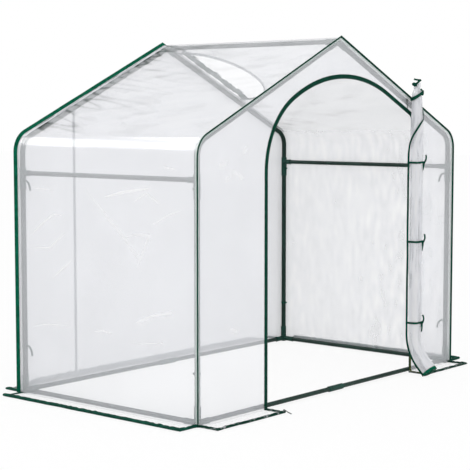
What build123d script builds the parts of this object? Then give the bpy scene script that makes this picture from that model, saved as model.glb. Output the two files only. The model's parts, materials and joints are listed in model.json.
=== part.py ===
from build123d import *
import math
import os

# Walk-in garden greenhouse: a clear film cover over a frame of steel tubes.
# Millimetres, +Z up. The origin is the middle of the footprint at ground level.
# The gable with the doorway faces -Y, and the ridge runs along Y.

# Cover, measured on the outside of the film
COVER_WIDTH = 1800.0
COVER_DEPTH = 1010.0
EAVE_HEIGHT = 1080.0
ROOF_RISE = 420.0
EAVE_RADIUS = 90.0
FILM = 1.0
SEAT = 0.3

# Steel tubes
POST_DIAMETER = 22.0
RAIL_DIAMETER = 19.0
TUBE_WALL = 1.0
RAIL_DROP = 145.0

# Moulded connectors that the tubes plug into
SOCKET_WALL = 2.0
SOCKET_FIT = 0.15
STOP_WALL = 4.0
COLLAR = 0.8
COLLAR_LENGTH = 5.0
GUSSET = 15.0
GUSSET_THICK = 6.0
FOOT_SOCKET = 62.0
TEE_ABOVE = 22.0
TEE_BELOW = 70.0
TEE_SOCKET = 42.0
APEX_SOCKET = 60.0
COUPLING_LENGTH = 100.0
COUPLING_WALL = 2.6
COUPLING_CHAMFER = 1.8

# Doorway in the front gable: a round left shoulder, a round peak and a straight right slope along the roof
DOOR_LEFT = 488.0
DOOR_RIGHT = 550.0
DOOR_DROP = 167.0
DOOR_PEAK = 40.0
DOOR_PEAK_ARC = 732.0
DOOR_LEFT_ARC = 332.0
DOOR_CORNER = 40.0
DOOR_TAPE = 16.0
TAPE_THICK = 2.0

# Half-round vent in the right roof slope, its straight edge beside the back rafter
VENT_RADIUS = 243.0
VENT_STRAIGHT = 20.0
VENT_EDGE = 22.0
VENT_DOWN = 343.0
VENT_TAPE = 8.0
VENT_ROLL_RADIUS = 14.0
VENT_ROLL_OVERHANG = 7.0
VENT_ROLL_RISE = 60.0
VENT_ROLL_SET = 26.0
VENT_ROLL_TURNS = 2

# Ground flaps, hems and the bound seams of the two gables
FLAP = 100.0
HEM = 16.0
HEM_THICK = 3.0
FRONT_BINDING = 9.0
FRONT_BINDING_THICK = 6.0
BACK_BINDING = 16.0
BACK_BINDING_THICK = 2.5
SEAM_X = 577.0
SEAM_WIDTH = 8.0
SEAM_THICK = 1.2

# Door panel, rolled up beside the doorway
ROLL_RADIUS = 30.0
ROLL_PITCH = 6.0
ROLL_TURNS = 3
ROLL_DROP = 33.0
ROLL_BEND_RADIUS = 150.0
ROLL_BEND_ANGLE = 42.0
ROLL_BEND_HEADING = 3.0
ROLL_TAIL = 28.0

# Ties: straps round the rolls and ribbons round the posts
TIE_WIDTH = 10.0
TIE_THICK = 1.5
TOP_TIE_DROP = 43.0
DOOR_TIE_SHARES = (0.185, 0.468, 0.742)
TIE_ROOT_SHARE = 0.925
VENT_TIE_SHARES = (0.12, 0.5, 0.88)
RIBBON_THICK = 1.0
RIBBON_WIDTH = 6.0
RIBBON_DROP = 30.0
RIBBON_LOW = 195.0

OVERRUN = 50.0

# Heights and places that follow from the sizes above
ridge_height = EAVE_HEIGHT + ROOF_RISE
rail_height = EAVE_HEIGHT - RAIL_DROP
door_top = ridge_height - DOOR_DROP
half_width = COVER_WIDTH / 2
half_depth = COVER_DEPTH / 2
pitch = math.atan2(ROOF_RISE, half_width)
post_bore = POST_DIAMETER / 2 + SOCKET_FIT
rail_bore = RAIL_DIAMETER / 2 + SOCKET_FIT
post_socket = post_bore + SOCKET_WALL
rail_socket = rail_bore + SOCKET_WALL
collar_radius = post_socket + COLLAR
axis_inset = FILM + SEAT + collar_radius
post_x = half_width - axis_inset
post_y = half_depth - axis_inset
base_z = collar_radius
ridge_z = ridge_height - axis_inset / math.cos(pitch)
bend_z = ridge_z - post_x * math.tan(pitch)
socket_stop = post_socket + STOP_WALL
trim_foot = HEM_THICK + SEAT
binding_reach = (SEAT + FRONT_BINDING + FRONT_BINDING_THICK / 2) / math.sqrt(2)
tape_face = -(half_depth + TAPE_THICK + SEAT)
ribbon_heights = (RIBBON_LOW, rail_height - TEE_BELOW - RIBBON_WIDTH)

# Doorway: the centres of its two arcs, and where its right slope starts and ends
peak_z = door_top - DOOR_PEAK_ARC
shoulder_reach = DOOR_PEAK_ARC - DOOR_LEFT_ARC
shoulder_turn = math.asin((DOOR_PEAK + DOOR_LEFT - DOOR_LEFT_ARC) / shoulder_reach)
shoulder_z = peak_z + shoulder_reach * math.cos(shoulder_turn)
door_corner_z = peak_z + (DOOR_PEAK_ARC - (DOOR_RIGHT - DOOR_PEAK) * math.sin(pitch)) / math.cos(pitch)

# Rolled door: its axis, its top, and the knee where its foot swings out to stand on the flap
tie_middle = ROLL_RADIUS + SEAT + TIE_THICK / 2
tie_root_x = DOOR_RIGHT + DOOR_TAPE / 2
roll_x = tie_root_x - TIE_ROOT_SHARE * tie_middle
roll_y = -(half_depth + binding_reach + SEAT + TIE_THICK + SEAT + ROLL_RADIUS)
roll_top = door_top - ROLL_DROP
roll_turn = math.radians(ROLL_BEND_ANGLE)
roll_toe = ROLL_BEND_RADIUS * math.tan(roll_turn / 2) + ROLL_TAIL
roll_knee = trim_foot + ROLL_RADIUS * math.sin(roll_turn) + roll_toe * math.cos(roll_turn)
roll_straight = roll_knee + ROLL_BEND_RADIUS * math.tan(roll_turn / 2)

SIDES = {"left": -1, "right": 1}
ENDS = {"front": -1, "back": 1}

slope_down = Vector(math.cos(pitch), 0, -math.sin(pitch))
slope_up = Vector(math.sin(pitch), 0, math.cos(pitch))


def rod(start, end, radius):
    """Solid round bar between two points."""
    axis = end - start
    return extrude(Plane(start, z_dir=axis) * Circle(radius), axis.length)


def tube(start, end, diameter):
    """Hollow straight tube between two points."""
    axis = end - start
    ring = Circle(diameter / 2) - Circle(diameter / 2 - TUBE_WALL)
    return extrude(Plane(start, z_dir=axis) * ring, axis.length)


def bent_tube(points, radius, diameter):
    """Hollow tube along straight runs with round bends."""
    path = FilletPolyline(*points, radius=radius)
    ring = Circle(diameter / 2) - Circle(diameter / 2 - TUBE_WALL)
    return sweep(Plane(path @ 0, z_dir=path % 0) * ring, path=path)


# Frame

def socket(centre, way, length, radius):
    """Outside of a socket, with a collar round its mouth."""
    mouth = centre + way * length
    return rod(centre, mouth, radius) + rod(mouth - way * COLLAR_LENGTH, mouth, radius + COLLAR)


def gusset(centre, way, other_way):
    """Three-cornered web in the angle between two sockets."""
    reach = post_socket + GUSSET
    across = way.cross(other_way)
    corners = (centre, centre + way * reach, centre + other_way * reach)
    web = make_face(Polyline(*corners, close=True))
    return extrude(web, GUSSET_THICK / 2, dir=across, both=True)


def bore(centre, way, start, length, radius):
    """Hole for a tube, from its stop out through the socket's mouth."""
    return rod(centre + way * start, centre + way * (length + OVERRUN), radius)


def foot(side, end):
    """Three-way corner connector that stands flat on the ground."""
    centre = Vector(side * post_x, end * post_y, base_z)
    upright = Vector(0, 0, 1)
    inward = (Vector(-side, 0, 0), Vector(0, -end, 0))
    body = rod(Vector(centre.X, centre.Y, 0), centre, post_socket)
    body += socket(centre, upright, FOOT_SOCKET, post_socket)
    for way in inward:
        body += socket(centre, way, FOOT_SOCKET, rail_socket)
        body += gusset(centre, upright, way)
    body -= bore(centre, upright, socket_stop, FOOT_SOCKET, post_bore)
    for way in inward:
        body -= bore(centre, way, socket_stop, FOOT_SOCKET, rail_bore)
    return body


def tee(side, end):
    """Connector that joins a post, the bent tube above it and the side rail."""
    centre = Vector(side * post_x, end * post_y, rail_height)
    up = Vector(0, 0, 1)
    down = Vector(0, 0, -1)
    inward = Vector(0, -end, 0)
    body = socket(centre, up, TEE_ABOVE, post_socket) + socket(centre, down, TEE_BELOW, post_socket)
    body += socket(centre, inward, TEE_SOCKET, rail_socket) + gusset(centre, down, inward)
    body -= bore(centre, up, STOP_WALL / 2, TEE_ABOVE, post_bore)
    body -= bore(centre, down, STOP_WALL / 2, TEE_BELOW, post_bore)
    body -= bore(centre, inward, socket_stop, TEE_SOCKET, rail_bore)
    return body


def apex_joint(end):
    """Three-way connector at the top of a gable: two rafters and the ridge tube."""
    centre = Vector(0, end * post_y, ridge_z)
    rafters = [Vector(side * slope_down.X, 0, slope_down.Z) for side in SIDES.values()]
    inward = Vector(0, -end, 0)
    body = Pos(centre) * Sphere(post_socket)
    for way in rafters:
        body += socket(centre, way, APEX_SOCKET, post_socket) + gusset(centre, way, inward)
    body += socket(centre, inward, APEX_SOCKET, rail_socket)
    for way in rafters:
        body -= bore(centre, way, socket_stop, APEX_SOCKET, post_bore)
    body -= bore(centre, inward, socket_stop, APEX_SOCKET, rail_bore)
    return body


def post(side, end):
    """Lower straight tube of a corner, from its foot to its tee."""
    low = Vector(side * post_x, end * post_y, base_z + socket_stop)
    high = Vector(side * post_x, end * post_y, rail_height - STOP_WALL / 2)
    return tube(low, high, POST_DIAMETER)


def rafter(side, end):
    """Upper tube of a corner: up from the tee, round the eave and on to the ridge."""
    apex = Vector(0, end * post_y, ridge_z)
    points = (
        Vector(side * post_x, end * post_y, rail_height + STOP_WALL / 2),
        Vector(side * post_x, end * post_y, bend_z),
        apex + Vector(side * slope_down.X, 0, slope_down.Z) * socket_stop,
    )
    return bent_tube(points, EAVE_RADIUS - axis_inset, POST_DIAMETER)


def lengthwise_tube(x, z):
    """Tube along Y between two connectors."""
    reach = post_y - socket_stop
    return tube(Vector(x, -reach, z), Vector(x, reach, z), RAIL_DIAMETER)


def base_tube_half(side, end):
    """Half of a front or back base tube, from a foot to the coupling in the middle."""
    outer = Vector(side * (post_x - socket_stop), end * post_y, base_z)
    inner = Vector(side * STOP_WALL / 2, end * post_y, base_z)
    return tube(outer, inner, RAIL_DIAMETER)


def base_coupling(end):
    """Sleeve that joins the two halves of a base tube."""
    centre = Vector(0, end * post_y, base_z)
    along = Vector(1, 0, 0)
    half = COUPLING_LENGTH / 2
    sleeve = rod(centre - along * half, centre + along * half, rail_bore + COUPLING_WALL)
    sleeve = chamfer(sleeve.edges(), COUPLING_CHAMFER)
    for way in SIDES.values():
        inner = centre + along * (way * STOP_WALL / 2)
        sleeve -= rod(inner, centre + along * (way * (half + OVERRUN)), rail_bore)
    return sleeve


# Cover

def gable_face(inset):
    """Outline of the gable on the XZ plane, a distance inside the cover's outer surface."""
    edge = half_width - inset
    apex = ridge_height - inset / math.cos(pitch)
    eave = apex - edge * math.tan(pitch)
    corners = ((-edge, 0), (-edge, eave), (0, apex), (edge, eave), (edge, 0))
    face = make_face(Polyline(*corners, close=True))
    eaves = [v for v in face.vertices() if math.isclose(v.Y, eave)]
    return fillet(eaves, EAVE_RADIUS - inset)


def standing(face, y, thickness):
    """Stands an XZ outline up as a slab that runs from y towards +Y."""
    return extrude(Plane.XZ.offset(-y) * face, -thickness)


def doorway_face(grow):
    """Outline of the doorway, grown outwards by a distance."""
    left = DOOR_LEFT + grow
    right = DOOR_RIGHT + grow
    left_arc = DOOR_LEFT_ARC + grow
    peak_arc = DOOR_PEAK_ARC + grow
    turn = math.degrees(shoulder_turn)
    slope = math.degrees(pitch)
    slope_start = (DOOR_PEAK + peak_arc * math.sin(pitch), peak_z + peak_arc * math.cos(pitch))
    corner_z = slope_start[1] - (right - slope_start[0]) * math.tan(pitch)
    edges = Curve() + [
        Line((-left, 0), (-left, shoulder_z)),
        CenterArc((DOOR_LEFT_ARC - DOOR_LEFT, shoulder_z), left_arc, 180, turn - 90),
        CenterArc((DOOR_PEAK, peak_z), peak_arc, 90 + turn, -turn - slope),
        Line(slope_start, (right, corner_z)),
        Line((right, corner_z), (right, 0)),
        Line((right, 0), (-left, 0)),
    ]
    face = make_face(edges)
    corner = max(face.vertices(), key=lambda v: v.X + v.Y)
    return fillet(corner, DOOR_CORNER + grow)


def strip_face(low, high):
    """Upright strip of the gable between two places across it."""
    tall = ridge_height + OVERRUN
    return Pos((low + high) / 2, tall / 2) * Rectangle(high - low, tall)


def above_hems():
    """Everything on the gable that is higher than the hems of the ground flaps."""
    tall = ridge_height + OVERRUN
    return Pos(0, trim_foot + tall / 2) * Rectangle(COVER_WIDTH, tall)


def front_panel(low, high):
    """Part of the front gable film beside or over the doorway."""
    face = (gable_face(0) & strip_face(low, high)) - doorway_face(0)
    return standing(face, -half_depth, FILM)


def back_panel():
    """Whole back gable film."""
    return standing(gable_face(0), half_depth - FILM, FILM)


def cover_sheet(side):
    """One side of the wrapped sheet: wall, rounded eave and roof slope in one piece."""
    face = gable_face(0) - gable_face(FILM)
    low, high = sorted((0, side * (half_width + OVERRUN)))
    sheet = standing(face & strip_face(low, high), FILM - half_depth, COVER_DEPTH - 2 * FILM)
    return sheet - vent_cut(0, OVERRUN) if side > 0 else sheet


def slope_plane(height):
    """Plane of the right roof slope: x runs down from the ridge, y towards the back."""
    origin = Vector(0, 0, ridge_height) + slope_up * height
    return Plane(origin, x_dir=slope_down, z_dir=slope_up)


def vent_face(grow):
    """Half-round vent outline on the slope, grown outwards on its curved side."""
    radius = VENT_RADIUS + grow
    edge = half_depth - VENT_EDGE
    spring = edge - VENT_STRAIGHT
    edges = Curve() + [
        Line((VENT_DOWN - radius, edge), (VENT_DOWN - radius, spring)),
        CenterArc((VENT_DOWN, spring), radius, 180, 180),
        Line((VENT_DOWN + radius, spring), (VENT_DOWN + radius, edge)),
        Line((VENT_DOWN + radius, edge), (VENT_DOWN - radius, edge)),
    ]
    return make_face(edges)


def vent_cut(grow, depth):
    """Block of the vent's shape, through the slope."""
    return extrude(slope_plane(0) * vent_face(grow), depth, both=True)


def vent_edge_tape():
    """Tape round the curved edge of the vent, on the outside of the roof."""
    return extrude(slope_plane(0) * (vent_face(VENT_TAPE) - vent_face(0)), SEAM_THICK)


def door_edge_tape():
    """Tape on the outside of the doorway's edge, both sides and the arch."""
    face = (doorway_face(DOOR_TAPE) - doorway_face(0)) & gable_face(0)
    return standing(face & above_hems(), -half_depth - TAPE_THICK, TAPE_THICK)


def gable_binding(end, width, thick):
    """Bound seam that stands out from the edge of a gable, from ground to ground."""
    y = end * half_depth
    corners = (
        Vector(-half_width, y, trim_foot),
        Vector(-half_width, y, EAVE_HEIGHT),
        Vector(0, y, ridge_height),
        Vector(half_width, y, EAVE_HEIGHT),
        Vector(half_width, y, trim_foot),
    )
    path = FilletPolyline(*corners, radius=(EAVE_RADIUS, 0, EAVE_RADIUS))
    lean = Plane(path @ 0, x_dir=Vector(-1, end, 0), z_dir=Vector(0, 0, 1))
    section = lean * Pos(SEAT + width / 2, 0) * Rectangle(width, thick)
    return sweep(section, path=path, transition=Transition.RIGHT)


def back_seam_strip():
    """Welded seam down the back gable film."""
    strip = strip_face(-SEAM_X - SEAM_WIDTH / 2, -SEAM_X + SEAM_WIDTH / 2)
    return standing(gable_face(FILM) & strip & above_hems(), half_depth, SEAM_THICK)


# Ground flaps: each has a strip of film and a hem along its outer edge and both ends

def flap_plans():
    """Name, length and place of each flap: the middle of its seam and its outward heading."""
    left_length = half_width - DOOR_LEFT
    right_length = half_width - DOOR_RIGHT
    return {
        "left_ground_flap": (COVER_DEPTH, Vector(-half_width, 0, 0), 90),
        "right_ground_flap": (COVER_DEPTH, Vector(half_width, 0, 0), -90),
        "back_ground_flap": (COVER_WIDTH, Vector(0, half_depth, 0), 0),
        "front_left_ground_flap": (left_length, Vector(-(half_width + DOOR_LEFT) / 2, -half_depth, 0), 180),
        "front_right_ground_flap": (right_length, Vector((half_width + DOOR_RIGHT) / 2, -half_depth, 0), 180),
    }


def flap_film(length, seam, heading):
    """Film of a flap, inside its hem."""
    plan = Pos(0, (FLAP - HEM) / 2) * Rectangle(length - 2 * HEM, FLAP - HEM)
    return extrude(Pos(seam) * Rot(0, 0, heading) * plan, FILM)


def flap_hem(length, seam, heading):
    """Hem of a flap: its outer edge and its two ends."""
    whole = Pos(0, FLAP / 2) * Rectangle(length - 2 * SEAT, FLAP)
    inside = Pos(0, (FLAP - HEM) / 2) * Rectangle(length - 2 * HEM, FLAP - HEM)
    return extrude(Pos(seam) * Rot(0, 0, heading) * (whole - inside), HEM_THICK)


# Rolled panels and ties

def spiral_face(radius, pitch_per_turn, turns):
    """Section of a rolled film: half circles, each a little smaller than the one before."""
    step = pitch_per_turn / 4
    outer, inner = [], []
    centre = 0.0
    size = radius
    start = 0
    for half in range(2 * turns):
        outer.append(CenterArc((centre, 0), size, start, 180))
        inner.append(CenterArc((centre, 0), size - FILM, start, 180))
        size -= 2 * step
        centre += 2 * step if start == 180 else -2 * step
        start = 180 - start
    first = Line(outer[0] @ 0, inner[0] @ 0)
    last = Line(outer[-1] @ 1, inner[-1] @ 1)
    return make_face(Curve() + [*outer, *inner, first, last])


def door_roll():
    """Door panel rolled up along an upright axis, its foot swung out over the flap."""
    heading = math.radians(ROLL_BEND_HEADING)
    ahead = Vector(math.sin(heading), -math.cos(heading), 0)
    top = Vector(roll_x, roll_y, roll_top)
    knee = Vector(roll_x, roll_y, roll_knee)
    end = knee + ahead * (roll_toe * math.sin(roll_turn)) - Vector(0, 0, roll_toe * math.cos(roll_turn))
    path = FilletPolyline(top, knee, end, radius=ROLL_BEND_RADIUS)
    section = spiral_face(ROLL_RADIUS, ROLL_PITCH, ROLL_TURNS)
    return sweep(Plane(top, z_dir=path % 0) * section, path=path)


def door_hinge_film():
    """Strip of the door panel between the doorway's edge and the roll."""
    outside = roll_x + ROLL_RADIUS + SEAT + TIE_THICK + SEAT
    high = door_corner_z - DOOR_CORNER
    width = tape_face - roll_y
    place = Pos(outside + FILM / 2, (tape_face + roll_y) / 2, (high + roll_straight) / 2)
    return place * Box(FILM, width, high - roll_straight)


def vent_roll_axis():
    """Two ends of the rolled vent flap's axis, along the vent's straight edge."""
    plane = slope_plane(SEAM_THICK + SEAT + VENT_ROLL_RADIUS)
    y = half_depth - VENT_EDGE - VENT_ROLL_SET
    ends = (VENT_DOWN - VENT_RADIUS - VENT_ROLL_RISE, VENT_DOWN + VENT_RADIUS + VENT_ROLL_OVERHANG)
    return [plane.from_local_coords(Vector(down, y, 0)) for down in ends]


def vent_flap_roll():
    """Vent flap rolled up beside the opening."""
    high, low = vent_roll_axis()
    axis = low - high
    section = spiral_face(VENT_ROLL_RADIUS, ROLL_PITCH, VENT_ROLL_TURNS)
    return extrude(Plane(high, z_dir=axis) * section, axis.length)


def strap(centre, axis, radius):
    """Strap round a roll."""
    half = axis.normalized() * (TIE_WIDTH / 2)
    inner = radius + SEAT
    return rod(centre - half, centre + half, inner + TIE_THICK) - rod(centre - half, centre + half, inner)


def door_ties():
    """Straps round the rolled door; all but the top one are sewn to the tape of the doorway."""
    upright = Vector(0, 0, 1)
    root_y = roll_y + tie_middle * math.sqrt(1 - TIE_ROOT_SHARE**2)
    reach = tape_face - root_y
    ties = [strap(Vector(roll_x, roll_y, roll_top - TOP_TIE_DROP), upright, ROLL_RADIUS)]
    for share in DOOR_TIE_SHARES:
        height = share * roll_top
        band = strap(Vector(roll_x, roll_y, height), upright, ROLL_RADIUS)
        ties.append(band + Pos(tie_root_x, root_y + reach / 2, height) * Box(TIE_THICK, reach, TIE_WIDTH))
    return ties


def vent_ties():
    """Straps round the rolled vent flap."""
    high, low = vent_roll_axis()
    return [strap(high + (low - high) * share, low - high, VENT_ROLL_RADIUS) for share in VENT_TIE_SHARES]


def post_ribbon(side, end, height):
    """Ribbon of the cover, looped round a post, with its end curling down inside."""
    centre = Vector(side * post_x, end * post_y, height)
    half = Vector(0, 0, RIBBON_WIDTH / 2)
    inward = Vector(0, -end, 0)
    inner = POST_DIAMETER / 2 + SEAT
    loop = rod(centre - half, centre + half, inner + RIBBON_THICK) - rod(centre - half, centre + half, inner)
    start = centre + inward * (inner + RIBBON_THICK / 2)
    tip = start + (inward - Vector(0, 0, 1)) * RIBBON_DROP
    middle = start + (inward * math.sqrt(2) - Vector(0, 0, math.sqrt(2) - 1) * math.sqrt(2)) * (RIBBON_DROP / 2)
    path = ThreePointArc(start, middle, tip)
    section = Plane(start, x_dir=Vector(1, 0, 0), z_dir=inward) * Rectangle(RIBBON_WIDTH, RIBBON_THICK)
    return loop + sweep(section, path=path)


def save(name, *solids):
    """Writes a node, one or more solids, as parts/NAME.step."""
    found = [s for shape in solids for s in shape.solids()]
    export_step(found[0] if len(found) == 1 else Compound(found), f"parts/{name}.step")


def build():
    """Makes every node and writes it."""
    os.makedirs("parts", exist_ok=True)
    for end_name, end in ENDS.items():
        for side_name, side in SIDES.items():
            save(f"{end_name}_{side_name}_post", post(side, end))
            save(f"{end_name}_{side_name}_rafter", rafter(side, end))
            save(f"{end_name}_{side_name}_foot", foot(side, end))
            save(f"{end_name}_{side_name}_tee", tee(side, end))
            save(f"{end_name}_base_tube_{side_name}", base_tube_half(side, end))
        save(f"{end_name}_base_coupling", base_coupling(end))
        save(f"{end_name}_apex_joint", apex_joint(end))
    for side_name, side in SIDES.items():
        save(f"{side_name}_rail", lengthwise_tube(side * post_x, rail_height))
        save(f"{side_name}_base_tube", lengthwise_tube(side * post_x, base_z))
        save(f"{side_name}_cover_sheet", cover_sheet(side))
    save("ridge_tube", lengthwise_tube(0, ridge_z))
    save("front_panel_left", front_panel(-half_width, -DOOR_LEFT))
    save("front_panel_top", front_panel(-DOOR_LEFT, DOOR_RIGHT))
    save("front_panel_right", front_panel(DOOR_RIGHT, half_width))
    save("back_panel", back_panel())
    save("front_gable_binding", gable_binding(ENDS["front"], FRONT_BINDING, FRONT_BINDING_THICK))
    save("back_gable_binding", gable_binding(ENDS["back"], BACK_BINDING, BACK_BINDING_THICK))
    save("back_seam_strip", back_seam_strip())
    save("door_edge_tape", door_edge_tape())
    save("vent_edge_tape", vent_edge_tape())
    for name, plan in flap_plans().items():
        save(name, flap_film(*plan))
    save("flap_hems", *[flap_hem(*plan) for plan in flap_plans().values()])
    save("door_roll", door_roll())
    save("door_hinge_film", door_hinge_film())
    save("vent_flap_roll", vent_flap_roll())
    save("door_ties", *door_ties())
    save("vent_ties", *vent_ties())
    corners = [(side, end) for side in SIDES.values() for end in ENDS.values()]
    save("post_ribbons", *[post_ribbon(*corner, z) for corner in corners for z in ribbon_heights])


build()
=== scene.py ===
import json
import math

import bpy
import numpy as np
from mathutils import Matrix, Vector, noise


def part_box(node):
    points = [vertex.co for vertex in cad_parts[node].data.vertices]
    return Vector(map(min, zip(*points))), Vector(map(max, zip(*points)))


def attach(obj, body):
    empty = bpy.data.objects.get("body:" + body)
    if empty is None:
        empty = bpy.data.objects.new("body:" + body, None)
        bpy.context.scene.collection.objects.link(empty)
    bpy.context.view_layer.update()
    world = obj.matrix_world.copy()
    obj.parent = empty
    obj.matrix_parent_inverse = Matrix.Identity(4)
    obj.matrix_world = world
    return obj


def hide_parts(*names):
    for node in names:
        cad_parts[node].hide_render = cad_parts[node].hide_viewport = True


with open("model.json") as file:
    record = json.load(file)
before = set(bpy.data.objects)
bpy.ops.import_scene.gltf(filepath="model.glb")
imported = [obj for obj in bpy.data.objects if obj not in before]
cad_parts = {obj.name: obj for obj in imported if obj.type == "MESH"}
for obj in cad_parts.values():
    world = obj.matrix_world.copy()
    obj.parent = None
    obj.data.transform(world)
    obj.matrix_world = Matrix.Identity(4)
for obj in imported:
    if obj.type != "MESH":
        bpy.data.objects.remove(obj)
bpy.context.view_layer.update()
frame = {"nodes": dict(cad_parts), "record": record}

bl_info = {
    "name": "Film greenhouse",
    "version": (1, 0, 0),
    "blender": (4, 5, 0),
    "location": "View3D > Sidebar > Greenhouse",
    "description": "Dresses a tube-framed garden greenhouse with clear film, bound seams, a rolled door "
                   "and a roof vent",
    "category": "Object",
}

# The construction's box straight after loading, and the boxes that set the sizes below
RIGHT_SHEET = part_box("right_cover_sheet")
BACK_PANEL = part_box("back_panel")
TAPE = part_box("door_edge_tape")
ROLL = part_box("door_roll")
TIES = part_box("door_ties")
ROOT = "root"
UP = np.array((0.0, 0.0, 1.0))

# The points' attribute that says how creased the film is and where light and shade are painted on it, and the
# tints it gives: white for creases and painted highlights, grey for painted shade and painted dark
# reflections
CREASE_AND_PAINTED_LIGHT = "fold"
CREASE_AND_HIGHLIGHT_WHITE = (1.0, 1.0, 1.0, 1.0)
PAINTED_SHADE_AND_REFLECTION_GREY = (0.06, 0.08, 0.08, 1.0)

# Colour sockets of a Mix node, whose names repeat for every kind of value
MIX_FIRST, MIX_SECOND, MIX_RESULT = 6, 7, 2

# Roughness of the film, and how far it stands off its flat lie
FILM_ROUGH = 0.17
SLACK, FINE_SLACK, GABLE_FINE_SLACK = 0.0045, 0.0015, 0.0018

# Long creases in the left wall's film, as places along the ridge and heights
WALL_CREASES = (
    ((-0.013, 0.853), (-0.115, 0.877), (-0.267, 0.898)),
    ((0.090, 0.879), (-0.095, 0.717), (-0.203, 0.619)),
    ((-0.113, 0.698), (-0.186, 0.715), (-0.257, 0.716), (-0.194, 0.593)),
    ((0.422, 0.681), (0.350, 0.733), (0.288, 0.770), (0.243, 0.772)),
    ((0.418, 0.625), (0.311, 0.632), (0.220, 0.699)),
    ((0.293, 0.510), (0.182, 0.586)),
    ((-0.275, 0.759), (-0.362, 0.801), (-0.430, 0.823)),
    ((-0.178, 0.844), (-0.241, 0.878), (-0.310, 0.837)),
    ((0.055, 0.307), (0.003, 0.319), (-0.054, 0.311)),
    ((-0.183, 0.367), (-0.272, 0.405), (-0.369, 0.424)),
    ((0.420, 0.293), (0.347, 0.311), (0.196, 0.319)),
    ((-0.155, 0.289), (-0.218, 0.289), (-0.324, 0.304)),
    ((0.408, 0.878), (0.286, 0.869)),
    ((-0.329, 0.982), (-0.397, 0.972)),
)
CREASE_REACH = 0.008

# Folds pressed flat along those creases: spacing of their points, half widths, and how far they stand out
FOLD_STEP = 0.008
LONG_FOLD, SHORT_FOLD = 0.0056, 0.0020
FOLD_LIFT = 0.0009

# Faint patches on the front film: across the gable and up, in metres
FRONT_PATCHES = (
    ((-0.770, 0.987), (-0.735, 0.997)),
    ((-0.694, 0.960), (-0.662, 0.948), (-0.641, 0.935)),
    ((-0.736, 0.932), (-0.715, 0.940)),
    ((-0.629, 1.035), (-0.618, 1.050)),
    ((-0.701, 0.350), (-0.672, 0.340)),
)
PATCH_REACH = 0.011


def length(name, description, default):
    """A size in metres that a user may change."""
    return bpy.props.FloatProperty(name=name, description=description, default=default, unit="LENGTH")


def colour(name, description, default):
    """A linear colour that a user may change."""
    return bpy.props.FloatVectorProperty(
        name=name, description=description, default=default, size=3, subtype="COLOR", min=0.0, max=1.0
    )


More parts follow.
